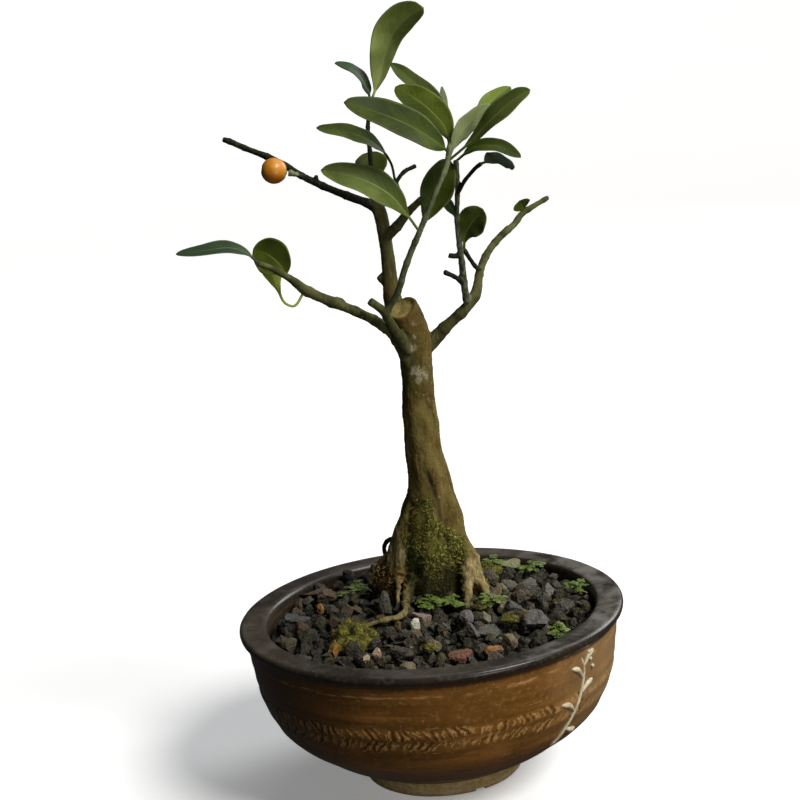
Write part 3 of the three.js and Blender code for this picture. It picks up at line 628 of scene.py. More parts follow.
DARK_TWIGS = [
    [(-6, 33, 248, 2.9), (-12, 34, 252, 2.3), (-21, 36, 256, 2), (-31, 38, 261, 1.8), (-40, 41, 266, 1.7),
     (-47, 43.5, 271, 1.7), (-54, 46, 275, 1.6), (-64, 50, 279.5, 1.5), (-71, 53, 283, 1.6),
     (-74, 54, 284, 1.4)],
    [(-33, 38.5, 262, 1), (-33.2, 38.5, 266, 0.9)],
    [(-8, 33, 250, 1.6), (-8.5, 34, 262, 1.3), (-8.5, 36, 272.5, 1.2), (-8.5, 38, 284.5, 1.1),
     (-6.5, 39, 293, 1.1), (-5, 39.5, 297.5, 1.3)],
    [(4, 23.5, 245.5, 1.4), (3, 24, 254, 1.2), (1.2, 25.5, 262, 1.3)],
    [(1.4, 25.3, 260.5, 1.2), (5.5, 29, 264.5, 1.1), (11, 32, 266.5, 1.2)],
    [(26.8, -12.5, 258, 1.2), (30, -16, 263, 1), (34.5, -20, 268, 1), (37, -23, 270, 1.1)],
    [(26, -3.5, 230, 1.2), (21, -6, 231, 1.4)],
    [(26.5, 3, 217, 1.2), (23, -1, 221, 1.1), (18.5, -4, 224, 1.4)],
    [(34.5, 13, 220, 1.2), (31, 9, 225.5, 1.1), (28, 5, 231.5, 1.2)],
]
BRANCHES = [
    [(1, 16, 184, 4.5), (-0.8, 20, 191, 4.4), (-3, 23.5, 200, 4.3), (-4.6, 26.5, 210, 4.1),
     (-4.9, 28.5, 219, 3.4), (-4.9, 30.5, 230, 3), (-5.6, 32, 241, 3), (-7, 33, 249, 3.1),
     (-9, 33.5, 253, 2.4)],
    [(-6, 30, 216, 2.4), (-8, 29.5, 218, 2.3), (-9.6, 29, 220, 1.8)],
    [(-5.5, 31, 236, 2.8), (0.5, 27, 241.5, 2.4), (5.5, 22, 247.5, 2), (10.5, 18, 252, 1.8),
     (14, 15, 255, 1.5)],
    [(3, 13, 180, 3.4), (0.2, 11.5, 184.5, 3.2), (-2.8, 9.5, 191.8, 3), (-7.1, 5, 199.6, 2.7),
     (-12.6, 0, 205, 2.4), (-19.8, -7, 210.9, 2.2), (-30.5, -14, 217.5, 2.4), (-40, -21, 224.5, 2.4),
     (-44.5, -25, 229.5, 1.7), (-52, -31, 236, 1.4), (-57, -35, 239, 1.3)],
    [(-24, -9, 213, 1.2), (-25.5, -11, 217, 1.1), (-28, -12.5, 218.5, 0.9)],
    [(1, 13, 185.5, 3.2), (-0.1, 9, 189.5, 2.8), (-2.6, 4.5, 195.6, 2.3), (-5.9, -1, 203.4, 2.2),
     (-8.1, -6, 209, 2.1), (-10.4, -10, 212.6, 2), (-13.7, -13, 215.8, 1.9)],
    [(4, 15, 180, 4.5), (7, 15, 187, 3.5), (13, 14, 193, 3.1), (19.5, 12, 199, 2.8), (26, 10, 204.5, 2.7),
     (31.5, 10, 211, 2.5), (34, 13, 219, 2), (37, 17, 225.2, 1.8), (41.2, 21, 230, 1.7),
     (47, 25, 234.6, 1.8), (51.5, 29, 237, 1.6), (55.5, 32, 241, 1.5), (61, 36, 243.5, 1.4),
     (68.5, 40, 246.5, 1.2)],
]
GREEN_SHOOTS = [
    [(-7.8, -5, 208.6, 1.7), (-5, -8, 213.3, 1.6), (-2.3, -12, 217.6, 1.6), (-0.5, -15, 221.8, 1.6),
     (1.6, -18.5, 228, 1.5), (5.5, -22, 237, 1.5), (9.5, -25.5, 245, 1.4), (14.5, -28, 255, 1.3),
     (19, -29, 264, 1.2), (22.5, -29, 271, 1.4), (25.4, -28.2, 282, 1.4)],
    [(-41.5, 41.5, 266.8, 1.1), (-42.2, 38.8, 266.7, 1.1), (-43.4, 37.1, 267.5, 1.3),
     (-45.2, 36.9, 268, 1.8)],
]
GREY_SHOOTS = [
    [(28, 10, 206, 2.1), (27, 5, 214, 1.8), (26.5, 0, 224.5, 1.6), (26, -5, 233.5, 1.4),
     (25.5, -9, 245.5, 1.3), (26.5, -12, 257, 1.2), (27, -14, 266, 1.2), (27, -14.5, 271.5, 1.3)],
]
LONG_ROOT_PALE = 0.6
# Each group of limbs with how green, grey, pale and dark its bark is
LIMB_GROUPS = [
    ([TRUNK], 0, 0, 0, 0), (BUTTRESSES, 0, 0, 0, 0), (LONG_ROOT, 0, 0, LONG_ROOT_PALE, 0),
    (PALE_ROOTS, 0, 0, 1, 0), (DARK_TWIGS, 0.05, 0, 0, 1), (BRANCHES, 0.12, 0, 0, 0.1),
    (GREEN_SHOOTS, 1, 0, 0, 0), (GREY_SHOOTS, 0.3, 1, 0, 0),
]
# A branch's first rings lie in the trunk, which keeps its own bark there
BRANCH_HIDDEN = 6
LIMB_STEP = 1.1
TWIG_R = 3
FULL_BARK_R = 7
WOOD_VOXEL = 0.59
NEAREST = 16
# Furrows run where the trunk's strands part
CREASE_HALF = 0.8
CREASE_FADE = 2.5
CREASES = [
    [(4.2, 8, 131), (6, 7, 125), (7.4, 7, 119), (7.8, 7, 112), (6, 6, 100)],
    [(-4.5, 9, 118), (-7, 9, 106), (-7.5, 8, 96), (-9, 8, 88)],
]
NODE_SPACING = 9.0
BURLS = [(Vector((-17, 18, 84)), 9), (Vector((-11.5, 9.5, 85)), 6)]
CUT_END = Vector((-0.4, 7.8, 208))
CUT_WAY = Vector((-0.35, -0.5, 0.79))
LICHEN = [
    (Vector((4.8, 8, 178.6)), 4.4), (Vector((2.8, 6, 201.3)), 2.2), (Vector((2.9, 7.4, 190)), 1.7),
    (Vector((2.1, 6.6, 195.4)), 2.2),
]


def limb_rings(rows):
    """Centres and radii along a limb, with a slight swelling at each leaf scar on thin ones."""
    spots = [Vector(row[:3]) for row in rows]
    length = sum((b - a).length for a, b in zip(spots, spots[1:]))
    steps = max(4, math.ceil(length / LIMB_STEP))
    centres = []
    radii = []
    for k in range(steps + 1):
        t = k / steps
        span = min(int(t * (len(rows) - 1)), len(rows) - 2)
        part = t * (len(rows) - 1) - span
        radius = rows[span][3] + (rows[span + 1][3] - rows[span][3]) * part
        if radius < TWIG_R:
            beat = math.cos(t * length / NODE_SPACING * TURN + rows[0][0])
            radius *= 0.94 + 0.16 * max(0.0, beat) ** 6
        centres.append(along_curve(spots, t))
        radii.append(radius)
    return centres, radii


def crease_depth(spot):
    """How deep the furrows are there, from 0 to 1."""
    deepest = 0.0
    for route in CREASES:
        for start, end in zip(route, route[1:]):
            start, end = Vector(start), Vector(end)
            if start.z + 6 > spot.z > end.z - 6 and spot.y < 16:
                part = min(1.0, max(0.0, (spot - start).dot(end - start) / (end - start).length_squared))
                off = spot - start.lerp(end, part)
                deepest = max(deepest, math.exp(-(off.x / CREASE_HALF) ** 2 - (off.z / CREASE_FADE) ** 2))
    return deepest * (0.65 + 0.7 * noise.noise(spot * 0.2))


def gnarled_share(spot, power):
    """How much a spot belongs to the burls, from 0 to 1; a higher power gives them a sharper edge."""
    return max(math.exp(-((spot - centre).length / size) ** power) for centre, size in BURLS)


def bark_height(spot, radius):
    """The height of the bark in millimetres at a spot of the wood, over a limb of that radius."""
    big = min(1.0, radius / FULL_BARK_R)
    sway = noise.noise(spot * 0.05) * 6
    ribs = noise.noise(Vector((spot.x * 0.24 + sway * 0.12, spot.y * 0.24, spot.z * 0.03)))
    knobs = noise.fractal(Vector((spot.x, spot.y, spot.z * 0.7)) * 0.13, 0.9, 2.1, 3)
    cracks = 1 - abs(noise.noise(Vector((spot.x, spot.y, spot.z * 0.4)) * 0.6 + Vector((7, 1, 3)))) * 3.4
    fine = noise.fractal(spot * 0.9, 0.8, 2.0, 2)
    crust = noise.fractal(spot * 0.5 + Vector((3, 5, 9)), 0.7, 2.3, 4)
    lip = 0.5 * math.exp(-(((spot - CUT_END).length - 5.8) / 0.8) ** 2) - 0.5 * sawn_share(spot)
    return (big * (0.7 * ribs + 0.35 * knobs) - big * 0.14 * max(0.0, cracks) + (0.06 + 0.12 * big) * fine
            + gnarled_share(spot, 2) * 1.7 * crust - 1.4 * big * crease_depth(spot) + lip)


def sawn_share(spot):
    """Whether a spot lies on the old sawn face at the trunk's end, from 0 to 1."""
    out = (spot - CUT_END).dot(CUT_WAY)
    return smoothstep(out, -1.3, -0.7) * (1 - smoothstep((spot - CUT_END).length, 4.7, 5.6))


def moss_cover(spot, out):
    """How thick the moss is: it climbs the damp front of the buttresses and dusts the burl."""
    patch = noise.fractal(spot * 0.13 + Vector((2, 8, 4)), 0.9, 2.0, 3)
    left = -9.5 + max(0.0, spot.z - 106) * 0.55
    right = 18 - min(13.0, max(0.0, (spot.z - 102) * 1.3))
    front = smoothstep(-out.y, -0.45, 0.2) * smoothstep(spot.x, left - 3, left + 3)
    front *= 1 - smoothstep(spot.x, right - 3, right + 2)
    front *= 1 - smoothstep(spot.z - patch * 16, 104, 124)
    front *= smoothstep(spot.z, 68, 72) * (1 - 0.8 * gnarled_share(spot, 4))
    low = (1 - smoothstep(spot.z + patch * 10, 76, 90)) * smoothstep(spot.z, 66, 70) * 0.6
    low *= smoothstep(spot.y, -7, -2)
    burl = gnarled_share(spot, 2) * 0.6 * smoothstep(patch, -0.2, 0.3)
    return min(1.0, max(front * (0.85 + patch * 0.8), low * smoothstep(patch, -0.1, 0.3), burl))


def wood_mesh():
    """All limbs as one skin, pushed out by its bark, with what its look reads stored at each point."""
    points = []
    faces = []
    samples = []
    for limbs, green, grey, pale, dark in LIMB_GROUPS:
        for rows in limbs:
            centres, radii = limb_rings(rows)
            sides = 28 if max(radii) > 6 else 18 if max(radii) > 2.6 else 12
            tube(points, faces, centres, radii, sides)
            hidden = BRANCH_HIDDEN if limbs is BRANCHES else 0
            samples += [(c, r, green, grey, pale, dark) for c, r in zip(centres[hidden:], radii[hidden:])]
    wood = meshed("tree_bark", points, faces)
    skin = wood.modifiers.new("skin", "REMESH")
    skin.mode = "VOXEL"
    skin.voxel_size = WOOD_VOXEL * MM
    ease = wood.modifiers.new("ease", "SMOOTH")
    ease.factor = 0.5
    ease.iterations = 3
    applied(wood)
    near = kdtree.KDTree(len(samples))
    for index, sample in enumerate(samples):
        near.insert(sample[0], index)
    near.balance()
    labels = ("height", "green", "grey", "pale", "dark", "cover", "cut", "lichen", "thick", "furrow", "gnarl")
    values = {name: [] for name in labels}
    moved = []
    for vertex in wood.data.vertices:
        spot = vertex.co / MM
        found = [index for _, index, _ in near.find_n(spot, NEAREST)]
        gaps = [((spot - samples[k][0]).length - samples[k][1], k) for k in found]
        _, radius, green, grey, own_pale, dark = samples[min(gaps)[1]]
        pale_gap = min([gap for gap, k in gaps if samples[k][4]], default=9.0)
        dark_gap = min([gap for gap, k in gaps if not samples[k][4]], default=3.0)
        pale = smoothstep(dark_gap - pale_gap, -0.2, 1.8) * (1.0 if spot.y < 27 else 0.35)
        pale *= 1 - smoothstep(spot.z, 76, 88) if spot.x < 0 else 1 - smoothstep(spot.z, 89, 97)
        pale *= 0.62 if own_pale == LONG_ROOT_PALE else 1.0
        height = bark_height(spot, radius) + pale * 0.6 * noise.noise(spot * 0.4)
        patch = noise.fractal(spot * 0.3, 0.9, 2.0, 3)
        crust = [1 - smoothstep((spot - c).length / s + patch * 0.9, 0.6, 1.1) for c, s in LICHEN]
        thick = min(1.0, radius / FULL_BARK_R)
        shares = (
            height, green, grey, pale, dark, moss_cover(spot, vertex.normal) * (1 - pale * 0.85),
            sawn_share(spot), max(crust), thick, crease_depth(spot) * thick, gnarled_share(spot, 4),
        )
        for name, share in zip(labels, shares):
            values[name].append(share)
        moved += [*(spot + vertex.normal * height) * MM]
    wood.data.vertices.foreach_set("co", moved)
    for name, numbers in values.items():
        valued(wood, name, numbers)
    wood.data.shade_smooth()
    return wood


def bark_look(w):
    height = attribute(w, "height")
    thick = attribute(w, "thick")
    mottle = grain(w, (0.18, 0.18, 0.1), 5, 0.6, 0.3)
    fibre = grain(w, (0.8, 0.8, 0.13), 4, 0.65, 0.4)
    fine = grain(w, (2.4, 2.4, 1.2), 4, 0.65)
    algae = rising(grain(w, (0.07, 0.07, 0.05), 4, 0.6, 0.5), 0.46, 0.62)
    x = own(w, "X")
    z = own(w, "Z")
    strand = rising(x, -6, -10) * rising(z, 112, 104) * rising(z, 88, 96)
    trunk = layered("564719", [
        (rising(mottle, 0.32, 0.68), "7a693a"),
        (rising(fibre, 0.5, 0.74) * 0.5, "8d7c4a"),
        (rising(fibre, 0.46, 0.3) * 0.5, "403413"),
        (rising(height, -0.05, -0.6) * 0.5, "3a2e16"),
        (algae * 0.45, "5a5a20"),
        (rising(fine, 0.56, 0.7) * 0.35, "a3956a"),
        (rising(z, 180, 200) * rising(mottle, 0.35, 0.6) * 0.5, "6e4f1f"),
        (strand * rising(fibre, 0.35, 0.6) * 0.6, "96906b"),
    ])
    dark = blended(rising(fibre, 0.5, 0.75), "191b10", "43452f")
    twig = layered("3b3a1a", [
        (rising(mottle, 0.35, 0.65), "615f34"),
        (rising(fibre, 0.52, 0.72) * 0.5, "86835a"),
        (attribute(w, "dark"), dark),
    ])
    green = layered("56633c", [
        (rising(mottle, 0.3, 0.7), "8a936a"),
        (rising(fibre, 0.5, 0.7) * 0.5, "a9ad90"),
    ])
    grey = blended(rising(fibre, 0.4, 0.65), "383a2e", "9a9c8c")
    root = layered("857348", [
        (rising(fibre, 0.35, 0.7), "c6b584"),
        (rising(fine, 0.54, 0.32) * 0.7, "5d4f2b"),
        (rising(mottle, 0.5, 0.38) * 0.55, "4a4420"),
    ])
    gnarled = layered("4e3b1b", [
        (rising(fine, 0.42, 0.6), "8d7040"),
        (rising(grain(w, 0.9, 3), 0.58, 0.7) * 0.7, "bda87c"),
    ])
    cut = layered("94803e", [
        (rising(mottle, 0.35, 0.65), "bda868"),
        (rising(fine, 0.46, 0.34) * 0.6, "6b5a2c"),
    ])
    crust = blended(rising(grain(w, 1.2, 4), 0.35, 0.6), "8d8468", "b5ad92")
    flecks = rising(cells(w, (0.42, 0.42, 0.36)), 0.16, 0.08) * rising(thick, 0.3, 0.8)
    film = layered("33340f", [
        (rising(fine, 0.35, 0.65), "6f6c2c"),
        # painted shade: the bark under the moss darkens low on the trunk
        (rising(z + mottle * 12, 106, 92) * 0.8, "16150a"),
    ])
    tint = layered(twig, [
        (rising(thick, 0.34, 0.64), trunk),
        (attribute(w, "green") * 0.9, green),
        (attribute(w, "grey") * 0.6, grey),
        (attribute(w, "pale"), root),
        (attribute(w, "gnarl") * 0.8, gnarled),
        (attribute(w, "cut") * 0.9, cut),
        (attribute(w, "lichen") * rising(fine, 0.36, 0.5) * 0.75, crust),
        (flecks * 0.4, "b5a87d"),
        # painted shade in the furrows
        (attribute(w, "furrow") * 0.85, "1c150a"),
        (rising(attribute(w, "cover") + fine * 0.3, 0.18, 0.55) * 0.92, film),
    ])
    coarse = relief(fibre, 0.5, 0.5)
    surface = relief(fine, 0.5 + attribute(w, "gnarl") * 0.4, 0.3, coarse)
    rough = 0.84 - attribute(w, "green") * 0.3 + fine * 0.12
    return tint, rough, surface


bark = wood_mesh()
bark.data.materials.append(painted("bark", bark_look, Specular_IOR_Level=0.2))
placed(bark, "bark", "tree_wood")


# Moss grows on the damp front of the trunk: thousands of leafy stems a millimetre or two long, which
# stand on the bark and hide it where they are thick.
MOSS_SPACING = 0.5
LEAN_SEED = 5


def unlinked(name, objects):
    """A collection of objects that are only there to be copied."""
    group = bpy.data.collections.new(name)
    for item in objects:
        bpy.context.collection.objects.unlink(item)
        group.objects.link(item)
    return group


def scatter_tree():
    """Copies of a collection's objects over the faces, by the cover at each point, out along the face."""
    tree = bpy.data.node_groups.new("scatter", "GeometryNodeTree")
    given = [
        ("Geometry", "Geometry"), ("Copies", "Collection"), ("Spacing", "Float"), ("Smallest", "Float"),
        ("Largest", "Float"), ("Tilt", "Float"), ("Palest", "Float"), ("Seed", "Int"), ("Finish", "Material"),
    ]
    for label, kind in given:
        tree.interface.new_socket(label, in_out="INPUT", socket_type="NodeSocket" + kind)
    tree.interface.new_socket("Geometry", in_out="OUTPUT", socket_type="NodeSocketGeometry")
    w = Wire(tree)
    inputs = w.node("NodeGroupInput")
    spacing = inputs.out("Spacing")
    cover = w.node("GeometryNodeInputNamedAttribute", {"data_type": "FLOAT"}, {"Name": "cover"})
    spots = w.node("GeometryNodeDistributePointsOnFaces", {"distribute_method": "POISSON"}, {
        "Mesh": inputs.out("Geometry"), "Distance Min": spacing, "Density Max": 3 / (spacing * spacing),
        "Density Factor": cover, "Seed": inputs.out("Seed"),
    })
    copies = w.node("GeometryNodeCollectionInfo", {}, {
        "Collection": inputs.out("Copies"), "Separate Children": True, "Reset Children": True,
    })
    size = w.node("FunctionNodeRandomValue", {"data_type": "FLOAT"}, {
        2: inputs.out("Smallest"), 3: inputs.out("Largest"), 8: inputs.out("Seed"),
    }, out=1)
    standing = w.node("GeometryNodeInstanceOnPoints", {}, {
        "Points": spots, "Instance": copies, "Pick Instance": True, "Rotation": spots.out("Rotation"),
        "Scale": w.node("CombineXYZ", {}, {0: size, 1: size, 2: size}),
    })
    tilt = inputs.out("Tilt")
    low = w.node("CombineXYZ", {}, {0: 0 - tilt, 1: 0 - tilt})
    high = w.node("CombineXYZ", {}, {0: tilt, 1: tilt, 2: TURN})
    lean = w.node("FunctionNodeRandomValue", {"data_type": "FLOAT_VECTOR"}, {0: low, 1: high, 8: LEAN_SEED})
    turned = w.node("GeometryNodeRotateInstances", {}, {"Instances": standing, "Rotation": lean})
    tone = w.node("FunctionNodeRandomValue", {"data_type": "FLOAT"}, {2: 0.0, 3: inputs.out("Palest")}, out=1)
    kept = w.node("GeometryNodeStoreNamedAttribute", {"data_type": "FLOAT", "domain": "INSTANCE"}, {
        "Geometry": turned, "Name": "tone", "Value": tone,
    })
    whole = w.node("GeometryNodeRealizeInstances", {}, {"Geometry": kept})
    dressed = w.node("GeometryNodeSetMaterial", {}, {"Geometry": whole, "Material": inputs.out("Finish")})
    end = tree.nodes.new("NodeGroupOutput")
    tree.links.new(dressed.socket, end.inputs["Geometry"])
    return tree


SCATTER = scatter_tree()


def scattered(name, ground, **inputs):
    """A piece made of copies over the ground's mesh; the ground itself isn't part of it."""
    piece = shown(name, ground.data.copy())
    spread = piece.modifiers.new("scatter", "NODES")
    spread.node_group = SCATTER
    for item in SCATTER.interface.items_tree:
        if item.in_out == "INPUT" and item.name in inputs:
            spread[item.identifier] = inputs[item.name]
    return applied(piece)


def moss_stem(name, length, bend, seed):
    """One moss stem to copy: a thin bent spike with a few leaflets, of that length in millimetres."""
    draw = random.Random(seed)
    points = []
    faces = []
    centres = [Vector((bend * t * t, 0, length * t)) for t in (0, 0.5, 1)]
    tube(points, faces, centres, [0.16, 0.13, 0.03], 3, Vector((1, 0, 0)))
    for k in range(5):
        t = 0.3 + 0.15 * k
        root = Vector((bend * t * t, 0, length * t))
        angle = k * 2.4 + draw.random()
        out = Vector((math.cos(angle), math.sin(angle), 0.9))
        side = Vector((-math.sin(angle), math.cos(angle), 0)) * 0.11
        start = len(points)
        points += [root + side, root - side, root + out * 0.36 * length, root - Vector((0, 0, 0.12))]
        faces += [(start, start + 2, start + 1), (start, start + 1, start + 3),
                  (start + 1, start + 2, start + 3), (start + 2, start, start + 3)]
    return meshed(name, points, faces)


def moss_look(w):
    tone = attribute(w, "tone")
    patch = grain(w, 0.11, 3)
    x = own(w, "X")
    z = own(w, "Z")
    light_stem = rising(tone, 0.1, 0.9)
    deep = blended(light_stem, "20260b", "6f7a3a")
    fresh = blended(light_stem, "6c6b23", "cac56e")
    ochre = blended(light_stem, "5d4a1c", "a08a45")
    rust = blended(light_stem, "5e4520", "bd9a5e")
    high_left = rising(z + patch * 12, 106, 116) * rising(x, 5, -3)
    clump_shade = grain(w, 0.42, 3)
    burl = rising(x, -8, -12) * rising(z, 97, 91)
    shade = rising(z + patch * 12, 101, 88) * rising(abs(x - 3), 15, 7)
    tint = layered(deep, [
        # fresher green in patches and on paler stems, and more of it towards the right as painted light
        (rising(patch + tone * 0.12 + x * 0.014, 0.42, 0.72), fresh),
        (high_left * 0.75, ochre),
        # painted shade between the clumps
        (rising(clump_shade, 0.5, 0.38) * 0.7, "181b09"),
        (burl * 0.8, rust),
        (shade * 0.85, "141206"),
    ])
    return tint, 0.75 + tone * 0.15


moss_finish = painted("moss", moss_look, Specular_IOR_Level=0.2)
stem_shapes = [moss_stem(f"stem_{k}", 1.0 + 0.2 * k, 0.25 * k - 0.3, k) for k in range(4)]
moss_stems = unlinked("moss stems", stem_shapes)
trunk_moss = scattered(
    "trunk_moss", bark, Copies=moss_stems, Spacing=MOSS_SPACING * MM, Smallest=0.5, Largest=1.35, Tilt=0.9,
    Palest=1.0, Seed=3, Finish=moss_finish,
)
placed(trunk_moss, "moss")


# The leaves are leathery and evergreen: one thin blade each on a short stalk, cupped a little along its
# midrib, darker above than below. rib runs from the twig to the tip, face is where the top looks, and
# widest and stalk are shares of the length.
LEAVES = {
    "leaf_top": {
        "rib": [(-5, 39.5, 297.3), (-3.4, 39.4, 300.8), (-1.2, 38.9, 305.6), (1.6, 37.6, 314.6),
                (6.2, 34.5, 324), (12.8, 29.5, 330.2), (20, 22.5, 333.6)],
        "width": 14.5, "face": (0.42, -0.9, 0.1), "widest": 0.68, "stalk": 0.06, "tone": "front",
        "blunt": 0.7, "tip": 0.44, "inside": 0.7, "window": 0.12},
    "leaf_top_left": {
        "rib": [(-6, 39.2, 294.5), (-7.4, 38.8, 301.8), (-10, 36.5, 307.2), (-14.3, 33, 311),
                (-20, 30, 313.6)],
        "width": 8, "face": (0.4, -0.6, 0.7), "widest": 0.38, "stalk": 0.14, "tone": "blue"},
    "leaf_crown_left": {
        "rib": [(24.2, -28.6, 275.5), (19.5, -32, 280.5), (9, -37, 288.5), (-3, -42, 295),
                (-16, -45, 300.5)],
        "width": 16, "face": (0.15, -0.75, 0.65), "widest": 0.5, "stalk": 0.1, "tone": "dark"},
    "leaf_crown_mid": {
        "rib": [(24.4, -28.5, 276.6), (23.6, -25, 285), (18.3, -19, 292.5), (11.5, -14, 298.5),
                (4.8, -10, 303)],
        "width": 13.5, "face": (-0.2, -0.6, 0.75), "widest": 0.5, "stalk": 0.12, "tone": "mid"},
    "leaf_crown_back": {
        "rib": [(25.1, -28.3, 280.4), (23.4, -6, 290.4), (17, 4, 299.2), (9.5, 10, 306.5), (4, 14, 312)],
        "width": 11, "face": (0.35, -0.5, 0.75), "widest": 0.5, "stalk": 0.12, "tone": "dark"},
    "leaf_crown_slim": {
        "rib": [(24.9, -28.4, 278.9), (26.4, -9, 282.5), (24.6, 8, 292), (24.9, 18, 300)],
        "width": 6.5, "face": (0.85, -0.45, 0.3), "widest": 0.6, "stalk": 0.2, "tone": "mid"},
    "leaf_crown_pale": {
        "rib": [(23.8, -28.7, 274), (28.5, -29, 282), (34.5, -27, 287.5), (42.5, -23, 293)],
        "width": 10, "face": (-0.3, 0.8, 0.5), "widest": 0.5, "stalk": 0.12, "tone": "pale"},
    "leaf_crown_right": {
        "rib": [(23.4, -28.8, 272.6), (33, -33, 280), (42.5, -37, 288.8), (50.5, -39, 294.8),
                (57.5, -40, 298.6)],
        "width": 11.5, "face": (-0.35, -0.6, 0.7), "widest": 0.55, "stalk": 0.15, "tone": "pale"},
    "leaf_crown_far": {
        "rib": [(25.4, -28.2, 282.4), (37, -13, 285.6), (44, -1, 293), (53, 8, 298)],
        "width": 9, "face": (-0.2, -0.7, 0.7), "widest": 0.6, "stalk": 0.2, "tone": "bright"},
    "leaf_middle_right": {
        "rib": [(27, -14.5, 271), (35, -16.5, 276), (44, -20, 276), (53, -24, 271)],
        "width": 9, "face": (0.1, -0.55, 0.83), "widest": 0.5, "stalk": 0.12, "tone": "dark"},
    "leaf_side_under": {
        "rib": [(36.5, -22.6, 269.7), (41, -26, 271), (45, -30, 270), (49.5, -33, 268.5)],
        "width": 12, "face": (0.1, 0.65, 0.75), "widest": 0.5, "stalk": 0.12, "tone": "blue"},
    "leaf_shoot_back": {
        "rib": [(9.5, -25.5, 245), (15.5, -19.5, 255), (19.5, -16.5, 263), (23.5, -12, 272)],
        "width": 14, "face": (-0.1, -0.95, 0.2), "widest": 0.52, "stalk": 0.1, "tone": "dark"},
    "leaf_shoot_left": {
        "rib": [(9.3, -25.4, 244.6), (4.6, -30, 253), (-1.5, -34, 261.8), (-13, -36, 269.5),
                (-28, -36, 274.2)],
        "width": 14, "face": (0.1, -0.8, 0.6), "widest": 0.56, "stalk": 0.16, "blunt": 1.15, "tone": "pale"},
    "leaf_inner_low": {
        "rib": [(-8.5, 33.6, 259.5), (-8, 39, 264), (-8.5, 43, 268.5), (-9.5, 46, 273)],
        "width": 14.5, "face": (0.1, -0.85, 0.5), "widest": 0.62, "stalk": 0.14, "blunt": 0.5,
        "tone": "dark"},
    "leaf_inner_left": {
        "rib": [(1.3, 25.4, 261.3), (0, 21, 270), (-5, 17, 278), (-15, 14, 284), (-30, 12, 288)],
        "width": 10, "face": (0.1, -0.6, 0.8), "widest": 0.55, "stalk": 0.36, "tone": "dark"},
    "leaf_left_tip": {
        "rib": [(-56.8, -34.8, 238.9), (-61, -38, 244), (-67, -41, 247), (-77, -45, 247.3),
                (-88, -48, 247.3)],
        "width": 9, "face": (0, -0.5, 0.87), "widest": 0.5, "stalk": 0.12, "tone": "blue"},
    "leaf_left_round": {
        "rib": [(-46, -26.2, 230.8), (-48.8, -25, 236.2), (-53, -23, 240.2), (-59.5, -20, 243.2)],
        "width": 15.5, "face": (-0.3, -0.9, 0.3), "widest": 0.55, "stalk": 0.08, "blunt": 0.6, "tone": "mid"},
    "leaf_left_bright": {
        "rib": [(-40.6, -21.5, 223.4), (-45, -22, 218.3), (-48.9, -22, 220.1), (-51.3, -21, 227.1),
                (-52.8, -20, 232.6), (-54.6, -19, 236.6)],
        "width": 8, "face": (0.3, -0.95, 0), "widest": 0.7, "stalk": 0.42, "tone": "lit"},
    "leaf_right_scrap": {
        "rib": [(57.6, 33.5, 242.2), (56.2, 31, 244.4), (54.8, 29, 247.4)],
        "width": 8.5, "face": (0, -1, 0.2), "widest": 0.68, "stalk": 0.15, "tone": "mid"},
    "leaf_middle_small": {
        "rib": [(25.5, -9, 246), (23, -12, 252), (19.5, -14, 256.5)],
        "width": 5, "face": (0.4, -0.85, 0.3), "widest": 0.55, "stalk": 0.15, "tone": "blue"},
    "leaf_middle_broad": {
        "rib": [(28, 5, 231.2), (29, 3.5, 238), (32, 1, 243), (37, -2, 249)],
        "width": 13, "face": (-0.2, -0.95, 0.25), "widest": 0.66, "stalk": 0.12, "blunt": 0.6,
        "tone": "pale"},
}
# Each tone's deep green, the fresher green by the midrib, the greyer margin and the underside
# The tones are lighter and darker greens, partly each leaf's own and partly painted light and shade on it
LEAF_TONES = {
    "dark": ("303b0e", "52621c", "646f38", "6c7a42"),
    "mid": ("434f17", "6a782a", "7a8348", "89954f"),
    "front": ("8ea04a", "c6d582", "a2b07a", "b9c88c"),
    "lit": ("9aa63f", "bfca64", "afb66c", "c8cf86"),
    "bright": ("728535", "97a650", "8f9b66", "adba80"),
    "blue": ("2b3b25", "455c36", "66745c", "77866c"),
    "pale": ("4f5c24", "768541", "848f60", "99a470"),
}
LEAF_STATIONS = 44
LEAF_COLUMNS = 17
LEAF_THICK = 0.5
LEAF_CUP = 0.16
MIDRIB_HIGH = 0.22
TIP_BLUNT = 0.52
STALK_HALF = 0.55


